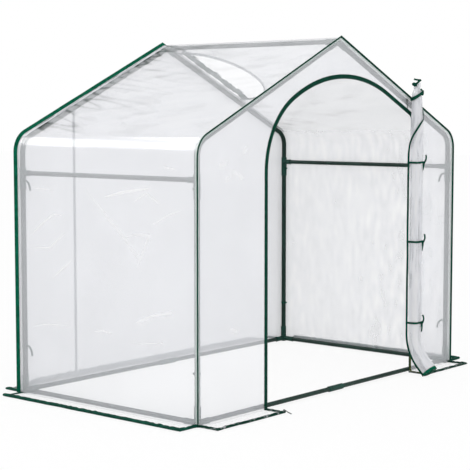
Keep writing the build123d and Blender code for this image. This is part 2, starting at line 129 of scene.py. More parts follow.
class GreenhouseSizes(bpy.types.PropertyGroup):
    """Sizes of the dressed greenhouse."""

    width: length("Width", "Outside of the film, across the gable", round(2 * RIGHT_SHEET[1].x, 4))
    depth: length("Depth", "Outside of the film, along the ridge", round(2 * BACK_PANEL[1].y, 4))
    ridge: length("Ridge", "Height of the ridge", round(RIGHT_SHEET[1].z, 4))
    eave: length("Eave", "Height where wall and slope would meet", 1.08)
    eave_radius: length("Eave radius", "Rounding of the film at the eave", 0.09)
    film: length("Film", "Thickness of the film", 0.0004)
    film_mesh: length("Film mesh", "Spacing of the points in the film", 0.0095)
    piping: length("Piping", "Width of the rounded binding on the front gable's edge", 0.009)
    piping_thick: length("Piping thickness", "Thickness of the rounded binding", 0.006)
    binding: length("Binding", "Width of the bound seam on the back gable's edge", 0.016)
    binding_thick: length("Binding thickness", "Thickness of the bound seam", 0.0025)
    turn_in: length("Turn-in", "Width of the green strips sewn in beside a binding", 0.0105)
    tape: length("Door tape", "Width of the tape round the doorway", 0.0148)
    tape_thick: length("Tape thickness", "Thickness of the doorway's tape", 0.0018)
    zip_pitch: length("Zip pitch", "Spacing of the zip's teeth", 0.004)
    flap: length("Ground flap", "Width of the flaps that lie on the ground", 0.1)
    hem: length("Hem", "Width of the hem on a flap", 0.016)
    hem_high: length("Hem height", "Height of the padded hem along a flap's outer edge", 0.0142)
    hem_front: length("Front hem height", "Height of the hems along the front flaps", 0.0105)
    hem_back: length("Back hem height", "Height of the hem that stands up behind the back wall", 0.026)
    hem_flat: length("Hem end height", "Height of the hem across a flap's ends", 0.005)
    door_left: length("Doorway left", "From the middle to the doorway's left edge", 0.488)
    door_right: length("Doorway right", "From the middle to the doorway's right edge", 0.55)
    door_top: length("Doorway top", "Height of the arch", round(TAPE[1].z - 0.016, 4))
    door_peak: length("Doorway peak", "From the middle to the arch's highest point", 0.04)
    door_peak_arc: length("Peak arc", "Radius of the arch round its highest point", 0.732)
    door_left_arc: length("Left arc", "Radius of the arch's left shoulder", 0.332)
    door_corner: length("Doorway corner", "Rounding where the arch meets the right edge", 0.04)
    seam_x: length("Back seam", "Place of the upright seam in the back film", -0.577)
    vent_radius: length("Vent radius", "Radius of the roof vent", 0.243)
    vent_straight: length("Vent straight", "Straight stretch of the vent beside its roll", 0.027)
    vent_edge: length("Vent edge", "From the back film to the vent's straight edge", 0.015)
    vent_down: length("Vent place", "From the ridge down the slope to the vent's middle", 0.343)
    vent_tape: length("Vent tape", "Width of the tape round the vent", 0.007)
    vent_roll: length("Vent roll", "Radius of the rolled vent flap", 0.0076)
    vent_roll_set: length("Vent roll place", "From the vent's straight edge to the roll's axis", 0.029)
    vent_roll_rise: length("Vent roll rise", "How far the roll reaches above the vent", 0.016)
    vent_roll_reach: length("Vent roll reach", "How far the roll reaches below the vent", 0.007)
    roll_x: length("Roll place", "Across the gable to the roll's axis", round(TIES[0].x + 0.0318, 4))
    roll_y: length("Roll stand-off", "Along the ridge to the roll's axis", round(TIES[0].y + 0.0318, 4))
    roll_top: length("Roll top", "Height of the rolled door", round(ROLL[1].z, 4))
    roll_radius: length("Roll radius", "Radius of the rolled door", 0.029)
    bunch: length("Bunch", "How far the gathered film stands up above the rolled door", 0.020)
    tie: length("Tie", "Width of the ties", 0.009)
    top_tie: length("Top tie", "Width of the tie at the roll's top", 0.0155)
    tie_thick: length("Tie thickness", "Thickness of the ties", 0.0013)
    ribbon_low: length("Low ribbons", "Height of the lower ribbons on the posts", 0.202)
    ribbon_high: length("High ribbons", "Height of the upper ribbons on the posts", 0.901)


class GreenhouseColours(bpy.types.PropertyGroup):
    """Colours of the dressed greenhouse."""

    frame_green: colour("Frame", "Coating of the steel tubes", (0.008, 0.030, 0.022))
    connector_green: colour("Connectors", "Moulded plastic of the connectors", (0.009, 0.050, 0.036))
    film: colour("Film", "Haze of the clear film", (0.88, 0.89, 0.925))
    trim_green: colour("Trim", "Woven tape of the seams and the doorway", (0.002, 0.040, 0.024))
    # A lighter copy of the trim's green: painted light, used on the back binding and the door's hem
    binding_green_lit: colour("Back binding", "Woven binding of the back gable", (0.001, 0.090, 0.048))
    hem_green: colour("Hems", "Coated cloth of the hems", (0.002, 0.050, 0.031))
    # Pale green: the sewn-in strip seen through the film, and on the slopes a painted highlight beside the
    # binding
    turn_in_green_and_highlight: colour("Turn-in", "Green strip that shows through beside a binding", (0.76, 0.87, 0.83))
    tie_green: colour("Ties", "Woven ribbon of the ties", (0.003, 0.048, 0.030))
    olive: colour("Olive tape", "Tape at the foot of the doorway's right edge", (0.083, 0.098, 0.028))
    zip_grey: colour("Zip pull", "Metal of the zip's slider and pull", (0.13, 0.145, 0.14))
    floor: colour("Floor", "Floor under the greenhouse", (0.90, 0.90, 0.90))


def sizes():
    """The sizes in use."""
    return bpy.context.scene.greenhouse_sizes


def colours():
    """The colours in use."""
    return bpy.context.scene.greenhouse_colours


# Small tools for shaping meshes

def select_only(piece):
    """Makes one piece the only selected and active one."""
    bpy.ops.object.select_all(action="DESELECT")
    piece.select_set(True)
    bpy.context.view_layer.objects.active = piece


def apply(piece, kind, **settings):
    """Adds a modifier to a piece and applies it."""
    select_only(piece)
    modifier = piece.modifiers.new(kind.title(), kind)
    for name, value in settings.items():
        setattr(modifier, name, value)
    bpy.ops.object.modifier_apply(modifier=modifier.name)


def thicken(piece, thick):
    """Gives a sheet its thickness, half to each side."""
    apply(piece, "SOLIDIFY", thickness=thick, offset=0.0)


def laid_grid(name, columns, rows, place, width, run):
    """Adds a flat grid and lays each point where place(u, v) says. Its UVs are in metres.

    A fourth value from place is kept on the points as how creased the film is there, with the highlights,
    shade and dark reflections painted on it.
    """
    bpy.ops.object.select_all(action="DESELECT")
    bpy.ops.mesh.primitive_grid_add(x_subdivisions=columns, y_subdivisions=rows, size=1.0)
    piece = bpy.context.object
    piece.name = name
    mesh = piece.data
    mesh.name = name
    flat = np.empty(3 * len(mesh.vertices))
    mesh.vertices.foreach_get("co", flat)
    flat = flat.reshape(-1, 3) + 0.5
    x, y, height, *fold = place(flat[:, 0], flat[:, 1])
    mesh.vertices.foreach_set("co", np.column_stack((x, y, height)).ravel())
    if fold:
        mesh.attributes.new(CREASE_AND_PAINTED_LIGHT, "FLOAT", "POINT").data.foreach_set("value", fold[0])
    layer = mesh.uv_layers.active.data
    uvs = np.empty(2 * len(layer))
    layer.foreach_get("uv", uvs)
    layer.foreach_set("uv", (uvs.reshape(-1, 2) * (run, width)).ravel())
    mesh.update()
    return piece


def close(piece):
    """Merges a rod's long seam, fills its ends and turns its faces outwards."""
    select_only(piece)
    bpy.ops.object.mode_set(mode="EDIT")
    bpy.ops.mesh.select_all(action="SELECT")
    bpy.ops.mesh.remove_doubles(threshold=1e-6)
    bpy.ops.mesh.fill_holes(sides=0)
    bpy.ops.mesh.normals_make_consistent(inside=False)
    bpy.ops.object.mode_set(mode="OBJECT")


def finish(piece, look, slot, *replaced, angle=50.0):
    """Smooths a piece, gives it its surface and sets it on the frame."""
    select_only(piece)
    bpy.ops.object.shade_smooth_by_angle(angle=math.radians(angle))
    piece.data.materials.clear()
    piece.data.materials.append(look)
    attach(piece, ROOT)
    if replaced:
        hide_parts(*replaced)
    return piece


def run_lengths(points):
    """Distance along a line of points, at each point."""
    return np.concatenate(([0.0], np.cumsum(np.linalg.norm(np.diff(points, axis=0), axis=1))))


def spaced(points, step):
    """The same line with points a step apart."""
    points = np.asarray(points, float)
    along = run_lengths(points)
    even = np.linspace(0, along[-1], max(2, int(round(along[-1] / step)) + 1))
    return np.column_stack([np.interp(even, along, points[:, i]) for i in range(points.shape[1])])


def band(name, near, far, rows, thick):
    """A strip of tape or ribbon between two matching edges."""
    near, far = np.asarray(near), np.asarray(far)
    last = len(near) - 1
    run = run_lengths((near + far) / 2)[-1]
    width = float(np.linalg.norm(far - near, axis=1).mean())

    def place(u, v):
        at = np.rint(u * last).astype(int)
        return (near[at] + (far[at] - near[at]) * v[:, None]).T

    piece = laid_grid(name, last, rows, place, width, run)
    thicken(piece, thick)
    return piece


def bead(name, line, first, second, sides=10):
    """A rod along a line of points, with its two half-axes given at each point."""
    line = np.asarray(line)
    first, second = np.broadcast_to(first, line.shape), np.broadcast_to(second, line.shape)
    last = len(line) - 1
    girth = math.pi * float(np.linalg.norm(first, axis=1).mean() + np.linalg.norm(second, axis=1).mean())

    def place(u, v):
        at = np.rint(u * last).astype(int)
        turn = 2 * math.pi * v[:, None]
        return (line[at] + np.cos(turn) * first[at] + np.sin(turn) * second[at]).T

    piece = laid_grid(name, last, sides, place, girth, run_lengths(line)[-1])
    close(piece)
    return piece


def unit(vectors):
    """The same directions, one metre long."""
    return vectors / np.linalg.norm(vectors, axis=-1, keepdims=True)


def drawn(points, count):
    """A smooth line that is drawn towards its points in turn."""
    t = np.linspace(0.0, 1.0, count)[:, None]
    level = [np.asarray(point, float) for point in points]
    while len(level) > 1:
        level = [a + (b - a) * t for a, b in zip(level, level[1:])]
    return level[0]


def ribbon(name, line, face, width):
    """A length of ribbon along a line, its flat side turned to face."""
    z = sizes()
    across = unit(np.cross(face, np.gradient(line, axis=0))) * (width / 2)
    return band(name, line - across, line + across, 2, z.tie_thick)


def knot(name, centre, reach, thick):
    """A small tied knot."""
    t = np.linspace(0.0, 2 * math.pi, 43)
    across, along = np.sin(t) + 2 * np.sin(2 * t), np.cos(t) - 2 * np.cos(2 * t)
    plan = np.column_stack((across, along, -1.5 * np.sin(3 * t)))
    line = centre + plan * (reach / 3)
    first = unit(np.cross(np.gradient(line, axis=0), UP))
    second = unit(np.cross(np.gradient(line, axis=0), first))
    return bead(name, line, first * thick, second * thick, 8)


def joined(name, pieces):
    """Several meshes joined in one piece."""
    select_only(pieces[0])
    for piece in pieces:
        piece.select_set(True)
    bpy.ops.object.join()
    whole = bpy.context.object
    whole.name = name
    whole.data.name = name
    return whole


def along_marks(y, height, lines, reach):
    """1 on any of the lines, falling off to 0 at about a reach from them."""
    near = np.full(len(y), 1.0)
    for line in lines:
        for (y0, z0), (y1, z1) in zip(line, line[1:]):
            dy, dz = y1 - y0, z1 - z0
            share = np.clip(((y - y0) * dy + (height - z0) * dz) / (dy * dy + dz * dz), 0.0, 1.0)
            near = np.minimum(near, np.hypot(y - y0 - share * dy, height - z0 - share * dz))
    return swell(near, reach)


def ripple(across, along, seed, fine_across, fine_along):
    """Smooth noise over a sheet, from about -1 to 1."""
    return np.array([noise.noise((a, b, seed)) for a, b in zip(across * fine_across, along * fine_along)])


def creases(across, along, seed, fine_across, fine_along):
    """Thin ridges where the noise changes sign, like the marks in film that has been folded."""
    return np.clip(1.0 - 6.0 * np.abs(ripple(across, along, seed, fine_across, fine_along)), 0.0, 1.0) ** 2


def fade(distance, reach):
    """Rises smoothly from 0 at an edge to 1 at a reach from it."""
    t = np.clip(distance / reach, 0.0, 1.0)
    return t * t * (3.0 - 2.0 * t)


def swell(distance, reach):
    """1 at a place, falling off smoothly to both sides of it."""
    return np.exp(-((distance / reach) ** 2))


# Outlines that several pieces share

def pitch():
    """Slope of the roof, in radians."""
    z = sizes()
    return math.atan2(z.ridge - z.eave, z.width / 2)


def slope_normal():
    """Direction out from the right roof slope."""
    return np.array((math.sin(pitch()), 0.0, math.cos(pitch())))


def profile_runs():
    """Lengths of the wall, the rounded eave and the slope, along one side of the cover."""
    z = sizes()
    turn = math.pi / 2 - pitch()
    tangent = z.eave_radius * math.tan(turn / 2)
    return z.eave - tangent, z.eave_radius * turn, z.width / 2 / math.cos(pitch()) - tangent


def profile(s):
    """Place and outward normal on the right side's profile, s metres up from the ground."""
    z = sizes()
    wall, bend, slope = profile_runs()
    angle = np.clip((s - wall) / z.eave_radius, 0.0, math.pi / 2 - pitch())
    beyond = np.clip(s - wall - bend, 0.0, slope)
    x = z.width / 2 - z.eave_radius * (1 - np.cos(angle)) - beyond * math.cos(pitch())
    height = np.minimum(s, wall) + z.eave_radius * np.sin(angle) + beyond * math.sin(pitch())
    return x, height, np.cos(angle), np.sin(angle)


def gable_line(s):
    """Place and outward normal on a gable's outline, from the left foot over the ridge to the right foot."""
    half = sum(profile_runs())
    side = np.where(s < half, -1.0, 1.0)
    x, height, nx, nz = profile(np.where(s < half, s, 2 * half - s))
    mitre = np.abs(s - half) < 1e-6
    return side * x, height, np.where(mitre, 0.0, side * nx), np.where(mitre, 1.0 / math.cos(pitch()), nz)


def door_line(step):
    """Points and outward normals round the doorway, from its left foot over the arch to its right foot."""
    z = sizes()
    low = z.door_top - z.door_peak_arc
    reach = z.door_peak_arc - z.door_left_arc
    turn = math.asin((z.door_peak + z.door_left - z.door_left_arc) / reach)
    shoulder = low + reach * math.cos(turn)
    slope = np.array((math.sin(pitch()), math.cos(pitch())))
    start = np.array((z.door_peak, low)) + z.door_peak_arc * slope
    corner = start[1] - (z.door_right - start[0]) * math.tan(pitch())
    cut = z.door_corner * math.tan((math.pi / 2 - pitch()) / 2)
    runs = []

    def straight(start, end, normal):
        count = max(2, int(np.linalg.norm(np.subtract(end, start)) / step))
        at = np.linspace(0, 1, count, endpoint=False)[:, None]
        points = np.asarray(start) + (np.subtract(end, start)) * at
        runs.append(np.hstack((points, np.tile(normal, (count, 1)))))

    def arc(centre, radius, start, end):
        count = max(4, int(radius * abs(end - start) / step))
        a = np.linspace(start, end, count, endpoint=False)
        normal = np.column_stack((np.cos(a), np.sin(a)))
        runs.append(np.hstack((np.asarray(centre) + radius * normal, normal)))

    straight((-z.door_left, 0.0), (-z.door_left, shoulder), (-1.0, 0.0))
    arc((z.door_left_arc - z.door_left, shoulder), z.door_left_arc, math.pi, math.pi / 2 + turn)
    arc((z.door_peak, low), z.door_peak_arc, math.pi / 2 + turn, math.pi / 2 - pitch())
    end = np.array((z.door_right, corner)) + cut * np.array((-math.cos(pitch()), math.sin(pitch())))
    straight(start, end, slope)
    arc((z.door_right - z.door_corner, corner - cut), z.door_corner, math.pi / 2 - pitch(), 0.0)
    straight((z.door_right, corner - cut), (z.door_right, 0.0), (1.0, 0.0))
    runs.append(np.array([[z.door_right, 0.0, 1.0, 0.0]]))
    line = np.vstack(runs)
    return line[:, :2], line[:, 2:]


def enclosed(points):
    """Area inside an outline, in square metres."""
    x, y = np.asarray(points).T
    return abs(float(np.dot(x, np.roll(y, 1)) - np.dot(y, np.roll(x, 1)))) / 2


def on_slope(down, y, height):
    """A place on the right roof slope: down from the ridge, along it, and above the film."""
    across, up = math.cos(pitch()), math.sin(pitch())
    x = down * across + height * up
    return np.column_stack((x, np.broadcast_to(y, np.shape(x)), sizes().ridge - down * up + height * across))


# Surfaces

def surface(name, base, rough):
    """A new material with its base colour and roughness set on the shader."""
    made = bpy.data.materials.new(name)
    made.use_nodes = True
    shader = made.node_tree.nodes["Principled BSDF"]
    shader.inputs["Base Color"].default_value = (*base, 1.0)
    shader.inputs["Roughness"].default_value = rough
    return made, made.node_tree, shader


def coordinates(tree, output):
    """The Object or UV coordinates of the piece."""
    return tree.nodes.new("ShaderNodeTexCoord").outputs[output]


def grain(tree, vector, scale, detail=3.0, stretch=(1.0, 1.0, 1.0)):
    """Noise over the piece, finer along the axes with a larger stretch."""
    mapping = tree.nodes.new("ShaderNodeMapping")
    mapping.inputs["Scale"].default_value = stretch
    texture = tree.nodes.new("ShaderNodeTexNoise")
    texture.inputs["Scale"].default_value = scale
    texture.inputs["Detail"].default_value = detail
    tree.links.new(vector, mapping.inputs["Vector"])
    tree.links.new(mapping.outputs["Vector"], texture.inputs["Vector"])
    return texture.outputs["Fac"]


def tones(tree, shader, factor, dark, light, low=0.35, high=0.65):
    """Varies the base colour between two tones."""
    ramp = tree.nodes.new("ShaderNodeValToRGB")
    ramp.color_ramp.elements[0].position = low
    ramp.color_ramp.elements[1].position = high
    ramp.color_ramp.elements[0].color = (*dark, 1.0)
    ramp.color_ramp.elements[1].color = (*light, 1.0)
    tree.links.new(factor, ramp.inputs["Fac"])
    tree.links.new(ramp.outputs["Color"], shader.inputs["Base Color"])


def bump(tree, shader, height, strength, distance):
    """Raises the surface by a height pattern."""
    node = tree.nodes.new("ShaderNodeBump")
    node.inputs["Strength"].default_value = strength
    node.inputs["Distance"].default_value = distance
    tree.links.new(height, node.inputs["Height"])
    tree.links.new(node.outputs["Normal"], shader.inputs["Normal"])


def scaled(base, share):
    """A lighter or darker tone of a colour."""
    return tuple(min(1.0, part * share) for part in base)


def coated_steel():
    """Powder-coated steel tube: satin, with a faint orange peel."""
    base = colours().frame_green
    made, tree, shader = surface("coated_steel", base, 0.38)
    where = coordinates(tree, "Object")
    tones(tree, shader, grain(tree, where, 14.0), scaled(base, 0.8), scaled(base, 1.25))
    bump(tree, shader, grain(tree, where, 700.0), 0.12, 0.0004)
    shader.inputs["Specular IOR Level"].default_value = 0.16
    return made


def moulded_plastic():
    """Moulded connector: matt, finely grained."""
    base = colours().connector_green
    made, tree, shader = surface("moulded_plastic", base, 0.5)
    where = coordinates(tree, "Object")
    tones(tree, shader, grain(tree, where, 45.0), scaled(base, 0.82), scaled(base, 1.2))
    bump(tree, shader, grain(tree, where, 1200.0), 0.2, 0.0003)
    shader.inputs["Specular IOR Level"].default_value = 0.16
    return made


def clear_film(name, base, alpha, rough):
    """Clear film with a light haze and fine wrinkles."""
    made, tree, shader = surface(name, base, rough)
    where = coordinates(tree, "Object")
    tones(tree, shader, grain(tree, where, 5.0), scaled(base, 0.975), scaled(base, 1.025))
    bump(tree, shader, grain(tree, where, 20.0, 4.0), 0.12, 0.003)
    shader.inputs["Alpha"].default_value = alpha
    shader.inputs["IOR"].default_value = 1.53
    return made


def film_with_creases_and_painted_light(name, base, alpha, rough):
    """Clear film that turns whiter along its creases and its painted highlights, and greyer under its painted
    shade and painted dark reflections.
    """
    made = clear_film(name, base, alpha, rough)
    tree = made.node_tree
    shader = tree.nodes["Principled BSDF"]
    fold = tree.nodes.new("ShaderNodeAttribute")
    fold.attribute_name = CREASE_AND_PAINTED_LIGHT
    painted_shade_share = tree.nodes.new("ShaderNodeMath")
    painted_shade_share.operation = "MULTIPLY"
    painted_shade_share.inputs[1].default_value = -1.0
    tree.links.new(fold.outputs["Fac"], painted_shade_share.inputs[0])
    # Mixes the painted highlights toward white and the painted shade and dark reflections toward grey
    colour_now = shader.inputs["Base Color"].links[0].from_socket
    for factor, tint in ((fold.outputs["Fac"], CREASE_AND_HIGHLIGHT_WHITE), (painted_shade_share.outputs[0], PAINTED_SHADE_AND_REFLECTION_GREY)):
        mix = tree.nodes.new("ShaderNodeMix")
        mix.data_type = "RGBA"
        mix.inputs[MIX_SECOND].default_value = tint
        tree.links.new(factor, mix.inputs[0])
        tree.links.new(colour_now, mix.inputs[MIX_FIRST])
        colour_now = mix.outputs[MIX_RESULT]
    tree.links.new(colour_now, shader.inputs["Base Color"])
    return made


def woven_tape(name, base, rib=900.0, rough=0.75, shine=0.05):
    """Woven tape: fine ribs across its length, in slightly uneven tones."""
    made, tree, shader = surface(name, base, rough)
    where = coordinates(tree, "UV")
    tones(tree, shader, grain(tree, where, 60.0), scaled(base, 0.75), scaled(base, 1.3))
    weave = tree.nodes.new("ShaderNodeTexWave")
    weave.inputs["Scale"].default_value = rib / (2 * math.pi)
    weave.inputs["Distortion"].default_value = 0.6
    tree.links.new(where, weave.inputs["Vector"])
    bump(tree, shader, weave.outputs["Fac"], 0.35, 0.0006)
    shader.inputs["Specular IOR Level"].default_value = shine
    return made


def coated_cloth(name, light, low, high):
    """Coated cloth of the hems: puckered, in patches of a dark and a paler tone; on the front hems the paler
    patches are painted highlights.
    """
    base = colours().hem_green
    made, tree, shader = surface(name, base, 0.6)
    where = coordinates(tree, "Object")
    tones(tree, shader, grain(tree, where, 55.0, 4.0), scaled(base, 0.6), light, low, high)
    bump(tree, shader, grain(tree, where, 130.0, 3.0), 0.5, 0.003)
    shader.inputs["Specular IOR Level"].default_value = 0.04
    return made


def dull_metal():
    """Metal of the zip's slider."""
    base = colours().zip_grey
    made, tree, shader = surface("zip_metal", base, 0.4)
    speckle = grain(tree, coordinates(tree, "Object"), 300.0)
    tones(tree, shader, speckle, scaled(base, 0.8), scaled(base, 1.15))
    shader.inputs["Metallic"].default_value = 0.6
    return made


SURFACES = {}


def surfaces():
    """The finished materials, made once."""
    if not SURFACES:
        SURFACES["steel"] = coated_steel()
        SURFACES["plastic"] = moulded_plastic()
        # The film's copies below are set lighter or darker for their panels as painted light and shade; the
        # rolled film is lightened against the shade deep inside the roll
        SURFACES["film"] = clear_film("clear_film", scaled(colours().film, 0.91), 0.31, FILM_ROUGH)
        SURFACES["laid"] = clear_film("laid_film", scaled(colours().film, 1.08), 0.13, FILM_ROUGH)
        SURFACES["creased"] = film_with_creases_and_painted_light("film_with_creases_and_painted_light", colours().film, 0.279, FILM_ROUGH)
        SURFACES["far_side"] = film_with_creases_and_painted_light("far_side_film", scaled(colours().film, 0.965), 0.31, FILM_ROUGH)
        SURFACES["hazy"] = film_with_creases_and_painted_light("hazy_film", scaled(colours().film, 0.86), 0.384, FILM_ROUGH)
        SURFACES["rolled"] = film_with_creases_and_painted_light("rolled_film", scaled(colours().film, 1.065), 0.31, 0.16)
        SURFACES["gathers"] = film_with_creases_and_painted_light("gathered_film", colours().film, 0.5, 0.25)
        SURFACES["turn_in"] = clear_film("green_turn_in", colours().turn_in_green_and_highlight, 0.32, 0.35)
        SURFACES["trim"] = woven_tape("woven_tape", colours().trim_green)
        # The back binding's brighter green is the trim's green with painted light on it
        SURFACES["binding"] = woven_tape("woven_binding_lit", colours().binding_green_lit)
        SURFACES["hem"] = coated_cloth("coated_cloth", scaled(colours().hem_green, 1.4), 0.35, 0.65)
        # Paler patches on the front hems: painted highlights on the glossy wavy hem
        SURFACES["front_hem"] = coated_cloth("cloth_with_painted_highlights", scaled(colours().film, 0.62), 0.52, 0.74)
        SURFACES["tie"] = woven_tape("woven_ribbon", colours().tie_green, 1400.0)
        SURFACES["olive"] = woven_tape("olive_tape", colours().olive)
        SURFACES["metal"] = dull_metal()
    return SURFACES


# Pieces

class GREENHOUSE_OT_frame_finish(bpy.types.Operator):
    """Coats the steel tubes and colours the moulded connectors"""

    bl_idname = "greenhouse.frame_finish"
    bl_label = "Frame finish"

    def execute(self, context):
        finishes = {"frame_green": "steel", "connector_green": "plastic"}
        for part in frame["record"]["subparts"]:
            if part["material_slot"] in finishes:
                node = frame["nodes"][part["node"]]
                node.data.materials.clear()
                node.data.materials.append(surfaces()[finishes[part["material_slot"]]])
        return {"FINISHED"}


# How far the side rail is below the eave
RAIL_DROP = 0.145

# Half the depth of the cut that opens the vent, and the spacing of the points round it
VENT_CUT = 0.05
VENT_STEP = 0.01


def side_lift(s, t, seed):
    """How far the wrapped film stands off its flat lie, at s up the profile and t along the ridge."""
    z = sizes()
    half = z.depth / 2
    free = fade(half - np.abs(t), 0.09) * fade(sum(profile_runs()) - s, 0.05) * fade(s, 0.05)
    rail = 1.0 - 0.75 * swell(s - z.eave + RAIL_DROP, 0.03)
    slack = SLACK * ripple(s, t, seed, 2.2, 1.7) + FINE_SLACK * ripple(s, t, seed + 3, 5.5, 4.0)
    return slack * free * rail


def side_creases_and_painted_light(s, t, side, seed):
    """Creases of one side: how high they stand, and how white or grey the film is there, from its creases and
    from painted highlights, shade and dark reflections.
    """
    half = sizes().depth / 2
    wall, bend, _ = profile_runs()
    if side < 0:
        marks = 0.35 * along_marks(t, s, WALL_CREASES, CREASE_REACH)
    else:
        fine = creases(s, t, seed + 5, 2.6, 6.5) * np.clip(2.2 * ripple(s, t, seed + 8, 3.4, 4.6), 0.0, 1.0)
        marks = fine * 0.35 * fade(half - np.abs(t), 0.05)
    roof = fade(s - wall - bend * 0.6, 0.06)
    fan = s + 0.3 * (half - t)
    near_back = np.exp(-(half - t) / 0.24) * roof * fade(half - t, 0.01)
    # Pulls near the back rafter: they lift the film, and their light and dark in the colour is painted
    # shading
    pulls = ripple(fan, t, seed + 11, 36.0, 2.5)
    # Thin lines near the back rafter, greyed in the colour as painted dark reflections
    lines = creases(fan, t, seed + 15, 17.0, 2.2)
    # Fine wrinkles over the roof, their light and dark in the colour painted shading
    rumple = ripple(s + 0.2 * t, t, seed + 17, 21.0, 6.0) * roof * fade(half - np.abs(t), 0.03)
    lift = 0.0014 * marks + 0.0018 * pulls * near_back - 0.0014 * lines * near_back + 0.0007 * rumple
    fold = 0.75 * marks + 0.45 * pulls * near_back - 1.3 * lines * near_back + 0.30 * rumple
    if side > 0:
        # Flecks over the right side's film: painted highlights, with faint painted shade between them
        crumple = ripple(s + 0.3 * t, t, 61.0, 7.0, 30.0) + 0.8 * ripple(s - 0.2 * t, t, 66.0, 16.0, 44.0)
        crumple = crumple * (0.4 + 0.6 * fade(0.15 - t, 0.45)) * (1.0 - roof) * fade(half - np.abs(t), 0.04)
        fold = fold + np.where(crumple > 0.0, 1.6, 0.22) * crumple
    return lift, np.clip(fold, -1.0, 1.0)


def side_sheet(name, side, seed):
    """Wall, rounded eave and roof slope of one side, in one sheet."""
    z = sizes()
    run = sum(profile_runs())
    deep = z.depth - 4 * z.film

    def place(u, v):
        t = (u - 0.5) * deep
        s = v * run
        x, height, nx, nz = profile(s)
        raised, fold = side_creases_and_painted_light(s, t, side, seed)
        lift = side_lift(s, t, seed) + raised - z.film
        return side * (x + nx * lift), t, height + nz * lift, fold

    piece = laid_grid(name, int(deep / z.film_mesh), int(run / z.film_mesh), place, run, deep)
    if side < 0:
        folds = [pressed_fold(number, line, place, run, deep) for number, line in enumerate(WALL_CREASES)]
        piece = joined(name, [piece, *folds])
    thicken(piece, z.film)
    return piece, run, deep


def pressed_fold(number, line, place, run, deep):
    """A narrow fold pressed flat on the wall, tapering to both its ends."""
    marks = spaced([(y, s, 0.0) for y, s in line], FOLD_STEP)[:, :2]
    across = unit(np.gradient(marks, axis=0)) @ np.array(((0.0, 1.0), (-1.0, 0.0)))
    wide = (LONG_FOLD if number == 0 else SHORT_FOLD) * (1.0 + 0.35 * math.sin(5.0 * number))
    last = len(marks) - 1

    def fold(u, v):
        at = np.rint(v * last).astype(int)
        reach = wide * np.sin(math.pi * (0.02 + 0.96 * v)) ** 0.7
        t, s = (marks[at] + across[at] * ((2 * u - 1) * reach)[:, None]).T
        x, y, height, _ = place(t / deep + 0.5, s / run)
        return x - FOLD_LIFT, y, height, np.full(len(x), 1.0)

    return laid_grid(f"fold_{number}", 2, last, fold, 2 * wide, FOLD_STEP * last)


def vent_outline(grow, step):
    """The vent's curved edge on the slope, from its upper end round to its lower end."""
    z = sizes()
    radius = z.vent_radius + grow
    edge = z.depth / 2 - z.vent_edge
    spring = edge - z.vent_straight
    a = np.linspace(math.pi, 2 * math.pi, int(math.pi * radius / step))
    arc = np.column_stack((z.vent_down + radius * np.cos(a), spring + radius * np.sin(a)))
    ends = ((z.vent_down - radius, edge), (z.vent_down + radius, edge))
    return np.vstack((ends[0], arc, ends[1]))


def pierce(piece):
    """Cuts the vent's shape out of the right-hand sheet."""
    outline = vent_outline(0.0, VENT_STEP)
    bpy.ops.object.select_all(action="DESELECT")
    bpy.ops.mesh.primitive_circle_add(vertices=len(outline), radius=1.0, fill_type="NGON")
    cutter = bpy.context.object
    places = on_slope(outline[:, 0], outline[:, 1], np.full(len(outline), -VENT_CUT))
    for vertex, where in zip(cutter.data.vertices, places):
        vertex.co = where
    bpy.ops.object.mode_set(mode="EDIT")
    bpy.ops.mesh.select_all(action="SELECT")
    rise = 2 * VENT_CUT * slope_normal()
    bpy.ops.mesh.extrude_region_move(TRANSFORM_OT_translate={"value": tuple(rise)})
    bpy.ops.mesh.select_all(action="SELECT")
    bpy.ops.mesh.normals_make_consistent(inside=False)
    bpy.ops.object.mode_set(mode="OBJECT")
    apply(piece, "BOOLEAN", operation="DIFFERENCE", solver="EXACT", object=cutter)
    bpy.data.objects.remove(cutter, do_unlink=True)


class GREENHOUSE_OT_side_sheets(bpy.types.Operator):
    """Makes the two wrapped sheets: wall, rounded eave and roof slope"""

    bl_idname = "greenhouse.side_sheets"
    bl_label = "Side sheets"

    def execute(self, context):
        left, run, deep = side_sheet("left_film", -1.0, 1.0)
        finish(left, surfaces()["creased"], "clear_film", "left_cover_sheet")
        right, run, deep = side_sheet("right_film", 1.0, 40.0)
        pierce(right)
        finish(right, surfaces()["far_side"], "clear_film", "right_cover_sheet")
        return {"FINISHED"}


# Points across the front film and its usual reach from the doorway, and points across and up the back film
FRONT_ROWS, FRONT_REACH = 44, 0.35
BACK_COLUMNS, BACK_ROWS = 190, 140

# Back seam: half width, thickness, stand-off from the film, and how far it ends from roof and ground
SEAM_HALF, SEAM_THICK, SEAM_SEAT = 0.0072, 0.0012, 0.0009
SEAM_TOP_GAP, SEAM_FOOT = 0.006, 0.004


